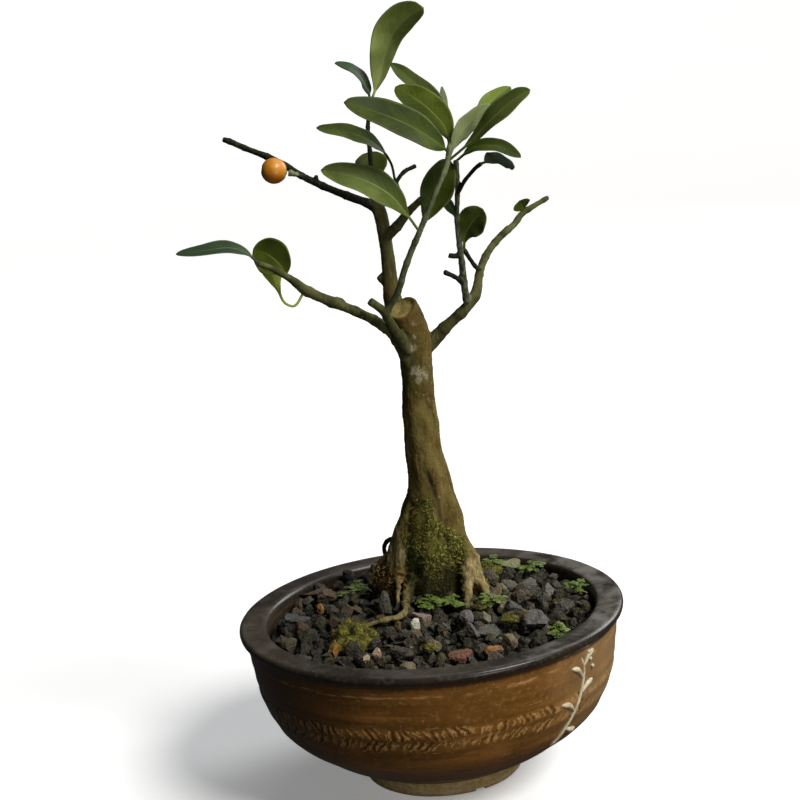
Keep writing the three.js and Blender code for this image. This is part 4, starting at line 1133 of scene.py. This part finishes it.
def leaf_mesh(form, seed):
    """Points, faces, places along and across, and which side is the upper one, of a closed blade."""
    draw = random.Random(seed)
    phase = draw.random() * TURN
    waves = 2 + draw.random() * 1.2
    ruffle = (0.2 + 0.3 * draw.random()) * min(1.0, (form["width"] / 13) ** 2)
    rib = [Vector(p) for p in form["rib"]]
    face = Vector(form["face"])
    stalk = form["stalk"]
    inside = form.get("inside", 1.0)
    window = form.get("window", 0.01)
    bend = math.log(0.5) / math.log(form["widest"])
    points = []
    spots = []
    for upper in (1, 0):
        for i in range(LEAF_STATIONS + 1):
            t = i / LEAF_STATIONS
            u = max(0.0, (t - stalk) / (1 - stalk))
            blunt = form.get("blunt", 0.8)
            blunt += (form.get("tip", TIP_BLUNT) - blunt) * smoothstep(u, 0.5, 0.85)
            swell = max(0.0, math.sin(math.pi * u ** bend)) ** blunt
            half = max(STALK_HALF * (1 - 0.6 * smoothstep(u, 0.5, 1)), form["width"] / 2 * swell)
            ahead = along_curve(rib, min(1, t + window))
            along = (ahead - along_curve(rib, max(0, t - window))).normalized()
            normal = (face - along * face.dot(along)).normalized()
            across = along.cross(normal)
            flat = smoothstep(u, 0.0, 0.12)
            for j in range(LEAF_COLUMNS):
                s = 2 * j / (LEAF_COLUMNS - 1) - 1
                aside = s * half * (inside if s > 0 else 2 - inside)
                wave = ruffle * s * s * flat * math.sin(TURN * waves * u + phase + (0.9 if s > 0 else 0))
                round_stalk = STALK_HALF * 2 * (1 - flat) * math.sqrt(max(0.05, 1 - s * s))
                thick = round_stalk + LEAF_THICK * flat * (1 - 0.55 * s * s)
                ridge = MIDRIB_HIGH * math.exp(-(s * half / 0.5) ** 2) * flat * (1 - u)
                lift = LEAF_CUP * half * abs(s) ** 1.6 + wave * min(1, half / 4)
                lift += (thick / 2 - ridge * 0.8) if upper else -(thick / 2 + ridge)
                points.append(along_curve(rib, t) + across * aside + normal * lift)
                spots.append((t, s, upper))
    faces = []
    sheet = (LEAF_STATIONS + 1) * LEAF_COLUMNS
    for i in range(LEAF_STATIONS):
        for j in range(LEAF_COLUMNS - 1):
            a = i * LEAF_COLUMNS + j
            quad = (a, a + 1, a + LEAF_COLUMNS + 1, a + LEAF_COLUMNS)
            faces.append(quad)
            faces.append(tuple(q + sheet for q in reversed(quad)))
    rim = list(range(LEAF_COLUMNS))
    rim += [(i + 1) * LEAF_COLUMNS + LEAF_COLUMNS - 1 for i in range(LEAF_STATIONS)]
    rim += [LEAF_STATIONS * LEAF_COLUMNS + j for j in reversed(range(LEAF_COLUMNS - 1))]
    rim += [i * LEAF_COLUMNS for i in reversed(range(1, LEAF_STATIONS))]
    for a, b in zip(rim, rim[1:] + rim[:1]):
        faces.append((b, a, a + sheet, b + sheet))
    return points, faces, spots


def leaf_look(tones, seed):
    """The look of one leaf: its veins and patches are its own, and one half is painted darker as shade."""
    deep, fresh, grey_green, under = tones
    darker_side = 1 if seed % 2 == 0 else -1

    def look(w):
        along = attribute(w, "along")
        across = attribute(w, "across")
        off = abs(across)
        patch = grain(w, 0.07, 3, 0.5, 0.4)
        fine = grain(w, 1.1, 4)
        midrib = rising(off, 0.06, 0.012)
        run = along * 13 - off * 2.2 + patch * 0.5 + seed * 0.37
        vein = rising(abs(run.math("FRACT", run) - 0.5), 0.13, 0.02) * rising(off, 0.95, 0.6)
        specks = rising(cells(w, 0.45), 0.1, 0.05) * rising(patch, 0.4, 0.55)
        tint = layered(deep, [
            (rising(patch + fine * 0.2, 0.46, 0.8) * 0.6, fresh),
            (rising(along, 0.6, 0.08) * rising(off, 0.8, 0.1) * 0.75, fresh),
            # painted shade: one half of the blade is darker
            (rising(across * darker_side, -0.05, 0.3) * 0.35, "26330d"),
            (vein * 0.16, fresh),
            (midrib * rising(along, 1.0, 0.5) * 0.6, under),
            (rising(off + fine * 0.2, 0.92, 1.1) * 0.6, grey_green),
            (specks * 0.4, grey_green),
        ])
        below = layered(under, [
            (rising(patch, 0.3, 0.7), grey_green),
            (midrib * 0.6, fresh),
            (vein * 0.25, deep),
        ])
        tint = blended(rising(attribute(w, "upper"), 0.3, 0.7), below, tint)
        quilt = relief(1 - vein, 0.22, 0.25)
        surface = relief(fine, 0.14, 0.25, quilt)
        rough = 0.4 + fine * 0.2 + (1 - attribute(w, "upper")) * 0.2
        return tint, rough, surface
    return look


for seed, (leaf_name, form) in enumerate(LEAVES.items()):
    points, faces, spots = leaf_mesh(form, seed)
    look = leaf_look(LEAF_TONES[form["tone"]], seed)
    finish = painted(leaf_name + " skin", look, Specular_IOR_Level=0.1)
    values = {label: [spot[k] for spot in spots] for k, label in enumerate(("along", "across", "upper"))}
    leaf = meshed("blade_" + leaf_name, points, faces, finish, values=values)
    placed(leaf, "leaf", leaf_name)


# The fruit hangs from a short green stalk: a ripening kumquat with oil glands all over its thin peel,
# a five-pointed calyx at the stalk and a small dry scar at the far end.
FRUIT_AT = Vector((-51.4, 36.5, 269.5))
FRUIT_R = 5.75
SEPALS = 5
SEPAL_LONG = 2.3
SEPAL_HALF = 0.75
STALK_END = Vector((-45.4, 36.9, 268.1))
FRUIT_AXIS = (STALK_END - FRUIT_AT).normalized()


def ball(divisions, radius=1):
    """Points and faces of a round ball about the origin, for shaping."""
    shape = bmesh.new()
    bmesh.ops.create_icosphere(shape, subdivisions=divisions, radius=radius)
    points = [v.co.copy() for v in shape.verts]
    faces = [tuple(v.index for v in f.verts) for f in shape.faces]
    shape.free()
    return points, faces


def fruit_mesh():
    """Points and faces of the fruit, and how near each point is to the stalk's end, from -1 to 1."""
    points, faces = ball(5)
    for index, point in enumerate(points):
        way = point.normalized()
        pole = way.dot(FRUIT_AXIS)
        dent = 0.05 * smoothstep(pole, 0.9, 1) + 0.035 * smoothstep(-pole, 0.95, 1)
        pores = 0.012 * max(0.0, noise.noise(way * 17)) + 0.02 * noise.noise(way * 1.8)
        points[index] = way * (1 - dent - pores) * FRUIT_R + FRUIT_AT
    poles = [(p - FRUIT_AT).normalized().dot(FRUIT_AXIS) for p in points]
    return points, faces, poles


def fruit_look(w):
    pole = attribute(w, "pole")
    blush = grain(w, 0.12, 3)
    glands = cells(w, 1.7)
    z = own(w, "Z")
    tint = layered("d0821d", [
        (rising(blush, 0.35, 0.7), "e49e35"),
        (rising(z + blush * 6, FRUIT_AT.z + 3, FRUIT_AT.z - 3) * 0.5, "c4611f"),
        (rising(glands, 0.3, 0.12) * 0.4, "9c5712"),
        (rising(pole, 0.8, 0.97) * 0.5, "a9922e"),
        (rising(pole, -0.985, -0.995), "4a3014"),
    ])
    peel = relief(rising(glands, 0.02, 0.42), 0.35, 0.14)
    return tint, 0.34 + blush * 0.1, peel


def calyx_mesh():
    """Five pointed sepals round the stalk, pressed to the fruit."""
    side = FRUIT_AXIS.orthogonal().normalized()
    points = []
    faces = []
    root = FRUIT_AT + FRUIT_AXIS * (FRUIT_R - 0.25)
    for k in range(SEPALS):
        angle = k / SEPALS * TURN
        out = side * math.cos(angle) + FRUIT_AXIS.cross(side) * math.sin(angle)
        half = FRUIT_AXIS.cross(out) * SEPAL_HALF
        lift = FRUIT_AXIS * 0.35
        tip = root + out * SEPAL_LONG - FRUIT_AXIS * 0.45
        tip_lift = FRUIT_AXIS * 0.15
        start = len(points)
        points += [root + half + lift, root - half + lift, tip + tip_lift,
                   root + half - lift, root - half - lift, tip - tip_lift]
        faces += [(start, start + 2, start + 1), (start + 3, start + 4, start + 5),
                  (start, start + 1, start + 4, start + 3), (start + 1, start + 2, start + 5, start + 4),
                  (start + 2, start, start + 3, start + 5)]
    return points, faces


def calyx_look(w):
    tone = grain(w, 0.8, 3)
    tint = blended(rising(tone, 0.3, 0.7), "5f6d34", "93a062")
    return tint, 0.55 + tone * 0.1, relief(tone, 0.3, 0.2)


fruit_points, fruit_faces, fruit_poles = fruit_mesh()
peel_finish = painted("kumquat peel", fruit_look, Coat_Weight=0.08)
fruit = meshed("kumquat_fruit", fruit_points, fruit_faces, peel_finish, values={"pole": fruit_poles})
placed(fruit, "fruit", "kumquat")
calyx = meshed("kumquat_calyx", *calyx_mesh(), painted("calyx green", calyx_look), smooth=False)
placed(calyx, "leaf")


# The bowl is topped with crushed lava: angular, porous lumps from charcoal to purple brown, heaped a
# little towards the trunk, over smaller crumbs. It keeps the soil damp and lies loose.
TRUNK_FOOT = Vector((2, 20))
GRIT_EDGE = 69
GRIT_R = 72
MOUND_RISE = 6
MOUND_SPREAD = 36
BED_FLOOR = 58.3
BED_LIFT = -2.6
# The bed under the stones is of the darkest tone, as painted shade in the gaps between them
BED_TONE = 0.1
BED_RINGS = 26
BED_SIDES = 72
STONE_SHAPES = 14
STONE_BREAKS = 11
STONE_BLANK = 1.15
SHAPE_SEED = 40
SIZE_SEED = 100
CHOSEN_SEED = 300
# Each layer's name, spacing, half size, least and greatest scale, lift, palest tone and seed
# The crumbs lie low between the stones and keep to dark tones, as painted shade there
LAYERS = [
    ("large", 6.0, 3.3, 0.55, 1.4, 0.3, 1.0, 21), ("upper", 8.6, 2.5, 0.45, 1.5, 3.0, 1.0, 8),
    ("crumbs", 3.0, 1.7, 0.5, 1.1, -0.9, 0.4, 5),
]
# The stones that stand out: place, half sizes, turn and tint
CHOSEN = [
    ((-19.5, 0, 76), (3.8, 3.4, 8), 0.3, "4c4b4a"), ((14.5, -19, 75.6), (3, 8, 3), 0.2, "6a6064"),
    ((17.5, -37, 74), (2.6, 8, 3), 0.25, "5b5450"), ((-7, -22, 75.6), (2.6, 2.3, 3.3), 0.7, "d6d3c0"),
    ((-42.5, -40, 73), (2.8, 2.6, 3.2), 0.4, "b8822f"), ((-50, 16, 73.5), (3, 2.6, 3), 1.1, "bb8349"),
    ((25.7, -55, 72.4), (5, 3, 3), 0.1, "a06a3c"), ((11, -58, 72.6), (5.5, 4, 3.6), 0.5, "754a3b"),
    ((-23.7, -50, 73.4), (2.4, 2.2, 2.6), 0.2, "d8b498"), ((-4, -15, 75.4), (4.6, 3.4, 3), 2.8, "94807a"),
    ((45, -29, 73.6), (5, 6.5, 5), 0.9, "6c6a68"), ((25, -33, 72.4), (6, 4.5, 3.6), 0.3, "5f605a"),
    ((40, 52, 73.6), (6, 4, 3.2), 0.1, "868a62"), ((-61, 2, 72.6), (6.5, 5.5, 4.5), 0.6, "56575a"),
    ((-14, -52, 72.6), (4.5, 4.5, 4), 0.2, "2b2827"), ((-51, 36, 73), (9, 5, 4), 0.4, "5c4838"),
    ((0, -42, 72.5), (4, 3.4, 3), 1.4, "6f5f50"), ((36, -12, 74), (6, 4.5, 4), 1.0, "4d4a48"),
    ((30, 10, 75.4), (5, 4, 3.4), 0.7, "66553e"), ((58, -8, 72.5), (5, 4.5, 4), 2.0, "43433f"),
    ((-38, -14, 74), (5, 4, 3.6), 0.5, "45423f"), ((-54, -20, 72.6), (6, 5, 4), 1.2, "1f1e1d"),
    ((44, 22, 73.5), (5, 4, 3.6), 0.2, "5d5b56"), ((52, 10, 73), (5.5, 4.2, 4), 1.7, "646159"),
    ((-29, -52, 72.8), (2, 1.8, 1.9), 1.3, "cbb894"), ((-46, 30, 73.5), (6, 4, 3.4), 0.9, "5f4a3a"),
    ((-57, -8, 72.6), (4, 3.4, 3), 0.2, "6a4f38"), ((22, -22, 75), (3.4, 3, 2.8), 0.3, "7c7a6c"),
    ((4, -27, 74.6), (3.6, 3, 2.6), 2.2, "4f4e4b"),
]


def ground_at(x, y):
    """The height of the grit there: a low mound round the trunk."""
    far = math.hypot(x - TRUNK_FOOT.x, y - TRUNK_FOOT.y) / MOUND_SPREAD
    return GRIT_EDGE + MOUND_RISE * math.exp(-far * far)


def lump(half, seed, divisions, spin=0.0):
    """Points and faces of one angular broken stone of those half sizes about the origin."""
    draw = random.Random(seed)
    breaks = []
    for _ in range(STONE_BREAKS):
        way = Vector((draw.uniform(-1, 1), draw.uniform(-1, 1), draw.uniform(-1, 1))).normalized()
        breaks.append((way, draw.uniform(0.44, 0.84)))
    shift = Vector((draw.uniform(0, 50), draw.uniform(0, 50), draw.uniform(0, 50)))
    turn = Matrix.Rotation(spin, 3, "Z")
    points, faces = ball(divisions, STONE_BLANK)
    for index, point in enumerate(points):
        way = point.normalized()
        for flat, reach in breaks:
            over = point.dot(flat) - reach
            if over > 0:
                point -= flat * over * 0.97
        rough = 0.12 * noise.fractal(way * 2.6 + shift, 0.7, 2.2, 4) + 0.05 * noise.noise(way * 8 + shift)
        point += way * rough
        points[index] = turn @ Vector([c * h for c, h in zip(point, half)])
    return points, faces


def disc_faces(rings, sides):
    """The faces of a sheet whose first point is its middle and whose rings follow, seen from above."""
    middle = [(0, 1 + k, 1 + (k + 1) % sides) for k in range(sides)]
    return middle + between_rings(1, rings, sides, turned=True)


def bed_points(radius, lift):
    """A round sheet of ground, as rings of points about its middle, with its faces."""
    points = [Vector((0, 0, ground_at(0, 0) + lift))]
    for i in range(1, BED_RINGS + 1):
        for k in range(BED_SIDES):
            angle = k / BED_SIDES * TURN
            x = radius * i / BED_RINGS * math.cos(angle)
            y = radius * i / BED_RINGS * math.sin(angle)
            z = ground_at(x, y) + lift + 0.5 * noise.noise(Vector((x, y, 0)) * 0.3)
            points.append(Vector((x, y, z)))
    return points, disc_faces(BED_RINGS, BED_SIDES)


def grit_look(of_stone):
    """The look of porous stone over the tint that of_stone gives."""
    def look(w):
        base = of_stone(w)
        pores = cells(w, 1.1)
        fine = grain(w, 1.3, 6, 0.72)
        blotch = grain(w, 0.14, 3)
        x = own(w, "X")
        tint = layered(base, [
            (rising(fine, 0.42, 0.68) * 0.5, "858069"),
            (rising(fine, 0.46, 0.3) * 0.7, "171514"),
            (rising(pores, 0.28, 0.12) * 0.75, "0c0b0a"),
            (rising(blotch, 0.54, 0.68) * 0.5, "4f4a22"),
            # painted shade: the stones darken towards the left, away from the light
            (rising(x + blotch * 20, 10, -40) * 0.4, "0c0b09"),
        ])
        rough = 0.75 + fine * 0.22
        surface = relief(fine, 0.75, 0.7, relief(rising(pores, 0.05, 0.4), 0.6, 0.6))
        return tint, rough, surface
    return look


def lava_tone(w):
    """Most stones are near black, some grey, purple or rusty, and a few pale, by their tone."""
    stops = [
        (0.0, "0b0b09"), (0.28, "1b1a15"), (0.5, "2d2b25"), (0.64, "3e3a31"), (0.74, "3f3234"),
        (0.84, "545043"), (0.93, "5a4126"), (1.0, "857d64"),
    ]
    return w.node("ValToRGB", {"stops": stops}, {"Fac": attribute(w, "tone")})


def own_tint(w):
    """The tint that the stone has by itself."""
    return w.node("Attribute", {"attribute_name": "tint"}, out="Color")


lava_finish = painted("crushed lava", grit_look(lava_tone), Specular_IOR_Level=0.3)
bed_top, bed_faces = bed_points(GRIT_R - 0.3, BED_LIFT)
floor_start = len(bed_top)
bed_top += [Vector((p.x, p.y, BED_FLOOR)) for p in bed_top[-BED_SIDES:]]
bed_faces += between_rings(floor_start - BED_SIDES, 2, BED_SIDES, turned=True)
bed_faces.append(tuple(floor_start + k for k in reversed(range(BED_SIDES))))
bed = meshed("lava_bed", bed_top, bed_faces, lava_finish, values={"tone": [BED_TONE] * len(bed_top)})
placed(bed, "grit", "lava_grit")

for layer, spacing, stone_half, smallest, largest, lift, palest, seed in LAYERS:
    shapes = []
    for k in range(STONE_SHAPES):
        draw = random.Random(SIZE_SEED + k)
        half = [stone_half * draw.uniform(0.7, 1.25) for _ in range(3)]
        divisions = 2 if layer == "crumbs" else 3
        shapes.append(meshed(f"{layer}_{k}", *lump(half, SHAPE_SEED + k, divisions), smooth=False))
    ground = meshed("ground", *bed_points(GRIT_R - stone_half - 0.4, lift))
    valued(ground, "cover", [1.0] * len(ground.data.vertices))
    stones = scattered(
        "lava_" + layer, ground, Copies=unlinked(layer, shapes), Spacing=spacing * MM, Smallest=smallest,
        Largest=largest, Tilt=math.pi, Palest=palest, Seed=seed, Finish=lava_finish,
    )
    bpy.data.objects.remove(ground)
    placed(stones, "grit")

chosen_points = []
chosen_faces = []
chosen_tints = []
for number, (at, half, spin, tint) in enumerate(CHOSEN):
    lump_points, lump_faces = lump(half, CHOSEN_SEED + number, 4, spin)
    start = len(chosen_points)
    chosen_points += [p + Vector(at) for p in lump_points]
    chosen_faces += [tuple(start + q for q in face) for face in lump_faces]
    chosen_tints += [*colour(tint)] * len(lump_points)
chosen_finish = painted("chosen stone", grit_look(own_tint), Specular_IOR_Level=0.3)
chosen = meshed("chosen_stones", chosen_points, chosen_faces, chosen_finish, smooth=False)
chosen.data.attributes.new("tint", "FLOAT_COLOR", "POINT").data.foreach_set("color", chosen_tints)
placed(chosen, "grit")


# A cushion of moss sits on the grit at the front left, and thin patches have started on damp stones.
# Each is a soft mound of the same short stems, lobed where it grows fastest. Rows are place and half size.
CUSHION_LOBES = [
    ((-35, -30.5, 71), (8.4, 8.6, 5)), ((-41, -27, 73), (2.6, 2.4, 4)), ((-31, -37.5, 72), (3, 2.6, 3.4)),
    ((-29.5, -34.5, 73), (3.6, 2.6, 4.2)), ((-35.5, -36, 72.6), (2.8, 2.4, 4.2)),
    ((-32, -30, 76.5), (2.6, 2.4, 4)), ((-38.5, -30, 75.5), (2.4, 2.2, 4.2)),
    ((-26, -30, 73.6), (2.8, 2.6, 3.2)), ((-36, -24, 76.4), (2.8, 2.6, 3.6)),
    ((-30, -24, 75.6), (2.8, 2.4, 3)), ((-40.5, -36, 72), (2.4, 2, 3)),
]
CUSHION_SPACING = 0.62
PATCH_HIGH = 1.7
MOSS_PATCHES = [
    ((29, 54, 73), 5.6), ((34, -23, 74), 3.6), ((-2, -46, 72.8), 3), ((14, 44, 75), 4.5), ((-6, 48, 73), 4),
    ((28, 30, 75.5), 4), ((41, -19, 73), 2.6), ((22, -8, 75.5), 2.6), ((30, 43, 74.3), 4.6),
    ((25, 22, 75), 2.6),
]


def cushion_look(w):
    tone = grain(w, 0.35, 4)
    tint = blended(rising(tone, 0.3, 0.7), "3a380f", "7d7a26")
    return tint, 0.8 + tone * 0.1, relief(tone, 0.6, 0.6)


def cushion_moss_look(w):
    tone = attribute(w, "tone")
    patch = grain(w, 0.22, 3)
    light_stem = rising(tone, 0.1, 0.9)
    deep = blended(light_stem, "3b3d12", "767324")
    fresh = blended(light_stem, "8b872c", "c4b448")
    tint = layered(deep, [
        (rising(patch, 0.4, 0.58), fresh),
        (rising(patch, 0.44, 0.34) * 0.75, "6b4a34"),
        (rising(cells(w, 0.24), 0.42, 0.7) * 0.8, "1d190b"),
    ])
    return tint, 0.7 + tone * 0.15


cushion_finish = painted("moss ground", cushion_look)
cushion_moss = painted("moss cushion", cushion_moss_look)


def mound(name, spots, seed):
    """A ground for moss: an uneven round lump at each spot, with those half sizes."""
    points = []
    faces = []
    ball_points, ball_faces = ball(4)
    for number, (at, half) in enumerate(spots):
        start = len(points)
        for point in ball_points:
            way = point.normalized()
            bump = 1 + 0.25 * noise.fractal(way * 2.1 + Vector((seed + number, 3, 1)), 0.8, 2.0, 3)
            points.append(Vector(at) + Vector([c * h * bump for c, h in zip(way, half)]))
        faces += [tuple(start + q for q in face) for face in ball_faces]
    return meshed(name, points, faces, cushion_finish)


patch_spots = [(at, (size, size * 0.8, PATCH_HIGH)) for at, size in MOSS_PATCHES]
mounds = [("moss_cushion", CUSHION_LOBES, 15, ["moss_mound"]), ("moss_patches", patch_spots, 14, [])]
for label, spots, seed, nodes in mounds:
    hump = mound(label, spots, seed)
    placed(hump, "moss", *nodes)
    valued(hump, "cover", [smoothstep(v.normal.z, -0.3, 0.3) for v in hump.data.vertices])
    stems = scattered(
        label + "_stems", hump, Copies=moss_stems, Spacing=CUSHION_SPACING * MM, Smallest=0.5, Largest=1.1,
        Tilt=0.6, Palest=1.0, Seed=9, Finish=cushion_moss,
    )
    placed(stems, "moss")


# Small soft weeds have seeded in the grit: a few bright fronds from one root, each with pairs of
# three-lobed leaflets. They are thin and stand a few millimetres above the stones.
LEAFLET_THICK = 0.16
WEED_SPREAD = 1.22
WEED_SUNK = 7
FROND_STEPS = 8
FROND_SIDES = 5


def lobe(points, faces, root, out, up, length, width):
    """A rounded leaflet lobe, thin and closed."""
    across = out.cross(up).normalized()
    outline = [(0, 0), (0.35, 0.42), (0.7, 0.5), (0.95, 0.28), (1.05, 0)]
    outline += [(reach, -aside) for reach, aside in reversed(outline[1:4])]
    start = len(points)
    for side in (0.5, -0.5):
        for reach, aside in outline:
            sag = -0.22 * reach * reach * length
            place = root + out * reach * length + across * aside * width
            points.append(place + up * (sag + side * LEAFLET_THICK))
    count = len(outline)
    faces.append(tuple(start + k for k in reversed(range(count))))
    faces.append(tuple(start + count + k for k in range(count)))
    for k in range(count):
        after = (k + 1) % count
        faces.append((start + k, start + after, start + count + after, start + count + k))


def leaflet(points, faces, root, out, up, size):
    """Three lobes from one root."""
    for spread, share in ((0.85, 0.75), (0, 1), (-0.85, 0.75)):
        turned_out = Quaternion(up, spread) @ out
        lobe(points, faces, root, turned_out, up, size * share, size * 0.75 * share)


def weed_mesh(low, high, seed):
    """A weed within the box of its node: arching fronds with leaflets in pairs."""
    draw = random.Random(seed)
    middle = (low + high) / 2 / MM
    base = Vector((middle.x, middle.y, low.z / MM + WEED_SUNK))
    reach = max(high.x - low.x, high.y - low.y) / 2 / MM * WEED_SPREAD
    points = []
    faces = []
    fronds = 6 + int(reach)
    for k in range(fronds):
        angle = k / fronds * TURN + draw.uniform(-0.3, 0.3)
        out = Vector((math.cos(angle), math.sin(angle), 0))
        far = reach * draw.uniform(0.7, 1.08)
        rise = Vector((0, 0, draw.uniform(2.2, 6.4)))
        route = [base, base + out * far * 0.35 + rise, base + out * far + rise * 0.9]
        centres = [along_curve(route, t / FROND_STEPS) for t in range(FROND_STEPS + 1)]
        radii = [0.32 - 0.02 * t for t in range(FROND_STEPS + 1)]
        tube(points, faces, centres, radii, FROND_SIDES)
        for t, aside in ((0.55, 1), (0.6, -1), (0.8, 1), (0.84, -1), (1.0, 0)):
            root = along_curve(route, t)
            up = Vector((draw.uniform(-0.35, 0.35), draw.uniform(-0.35, 0.35), 1)).normalized()
            way = Quaternion(Vector((0, 0, 1)), aside * 1.1) @ out
            way = (way - up * way.dot(up)).normalized()
            leaflet(points, faces, root, way, up, draw.uniform(1.6, 2.5))
    return points, faces


def weed_look(w):
    patch = grain(w, 0.3, 3)
    fine = grain(w, 1.6, 3)
    tint = layered("334616", [
        (rising(patch, 0.32, 0.68), "6c8032"),
        (rising(fine, 0.5, 0.68) * 0.6, "a6b65a"),
    ])
    return tint, 0.5 + fine * 0.15, relief(fine, 0.3, 0.2)


weed_finish = painted("weed leaf", weed_look)
weed_nodes = sorted(name for name in frame["nodes"] if name.startswith("weed_"))
for seed, weed_name in enumerate(weed_nodes):
    weed = meshed("fronds_" + weed_name, *weed_mesh(*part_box(weed_name), seed), weed_finish, smooth=False)
    placed(weed, "weed", weed_name)


# The bowl stands on a white floor that curves up far away. A distant window shines from the front right
# and a weak sky from behind, and two lamps lift the right edge and the foot.
CAMERA_AT = Vector((0, -0.75004, 0.33642))
CAMERA_AIM = Vector((-0.00664, 0.97612, -0.21715))
CAMERA_ROLL = -5.2556
COVE_START = 2000
COVE_R = 7000
COVE_SIDES = 48
COVE_Z = -0.1
WARM = (1.0, 0.98, 0.95)
COOL = (0.95, 0.98, 1.0)


def light(name, kind, at, aim, power, tint, **settings):
    """A light that shines from at to aim; a distant one only takes its direction from them."""
    made = bpy.data.lights.new(name, kind)
    made.energy = power
    made.color = tint
    for setting, value in settings.items():
        setattr(made, setting, value)
    holder = shown(name, made)
    holder.location = at
    holder.rotation_euler = (Vector(aim) - Vector(at)).to_track_quat("-Z", "Y").to_euler()


def floor_look(w):
    tone = grain(w, 0.004, 2)
    return blended(tone, "f9f9f9", "fdfdfd"), 0.85 + tone * 0.1


cove_points = [Vector((0, 0, COVE_Z))]
cove_bends = [math.radians(degrees) for degrees in range(0, 49, 4)]
cove_angles = [k / COVE_SIDES * TURN for k in range(COVE_SIDES)]
for bend in cove_bends:
    reach = COVE_START + COVE_R * math.sin(bend)
    rise = COVE_R * (1 - math.cos(bend)) + COVE_Z
    cove_points += [Vector((reach * math.cos(a), reach * math.sin(a), rise)) for a in cove_angles]
cove_faces = disc_faces(len(cove_bends), COVE_SIDES)
pale_floor = painted("pale floor", floor_look, Emission_Color=(1, 1, 1, 1), Emission_Strength=0.22)
stage_floor = meshed("floor", cove_points, cove_faces, pale_floor)
stage_floor.visible_diffuse = False
stage_floor.visible_glossy = False

light("window", "SUN", (0.75, -0.6, 0.95), (0, 0, 0), 3.0, WARM, angle=math.radians(24))
light("sky", "SUN", (0.35, 0.75, 1.1), (0, 0, 0), 0.45, COOL, angle=math.radians(40))
light("sheen", "AREA", (1.0, 0.9, 0.75), (0, 0, 0.1), 9, (0.97, 0.99, 1.0), shape="DISK", size=0.8)
light("reflector", "AREA", (0.4, -0.75, 0.03), (0, 0, 0.02), 2.1, WARM, shape="DISK", size=0.3)
world = bpy.data.worlds.new("studio")
world.use_nodes = True
world.node_tree.nodes["Background"].inputs["Color"].default_value = (0.96, 0.98, 1.0, 1.0)
world.node_tree.nodes["Background"].inputs["Strength"].default_value = 0.038
bpy.context.scene.world = world
bpy.context.scene.view_settings.view_transform = "Standard"

camera = bpy.data.cameras.new("camera")
camera.lens = 80
camera.sensor_width = 36
view = shown("camera", camera)
view.location = CAMERA_AT
turn = CAMERA_AIM.to_track_quat("-Z", "Y") @ Quaternion((0, 0, 1), math.radians(CAMERA_ROLL))
view.rotation_euler = turn.to_euler()
bpy.context.scene.camera = view
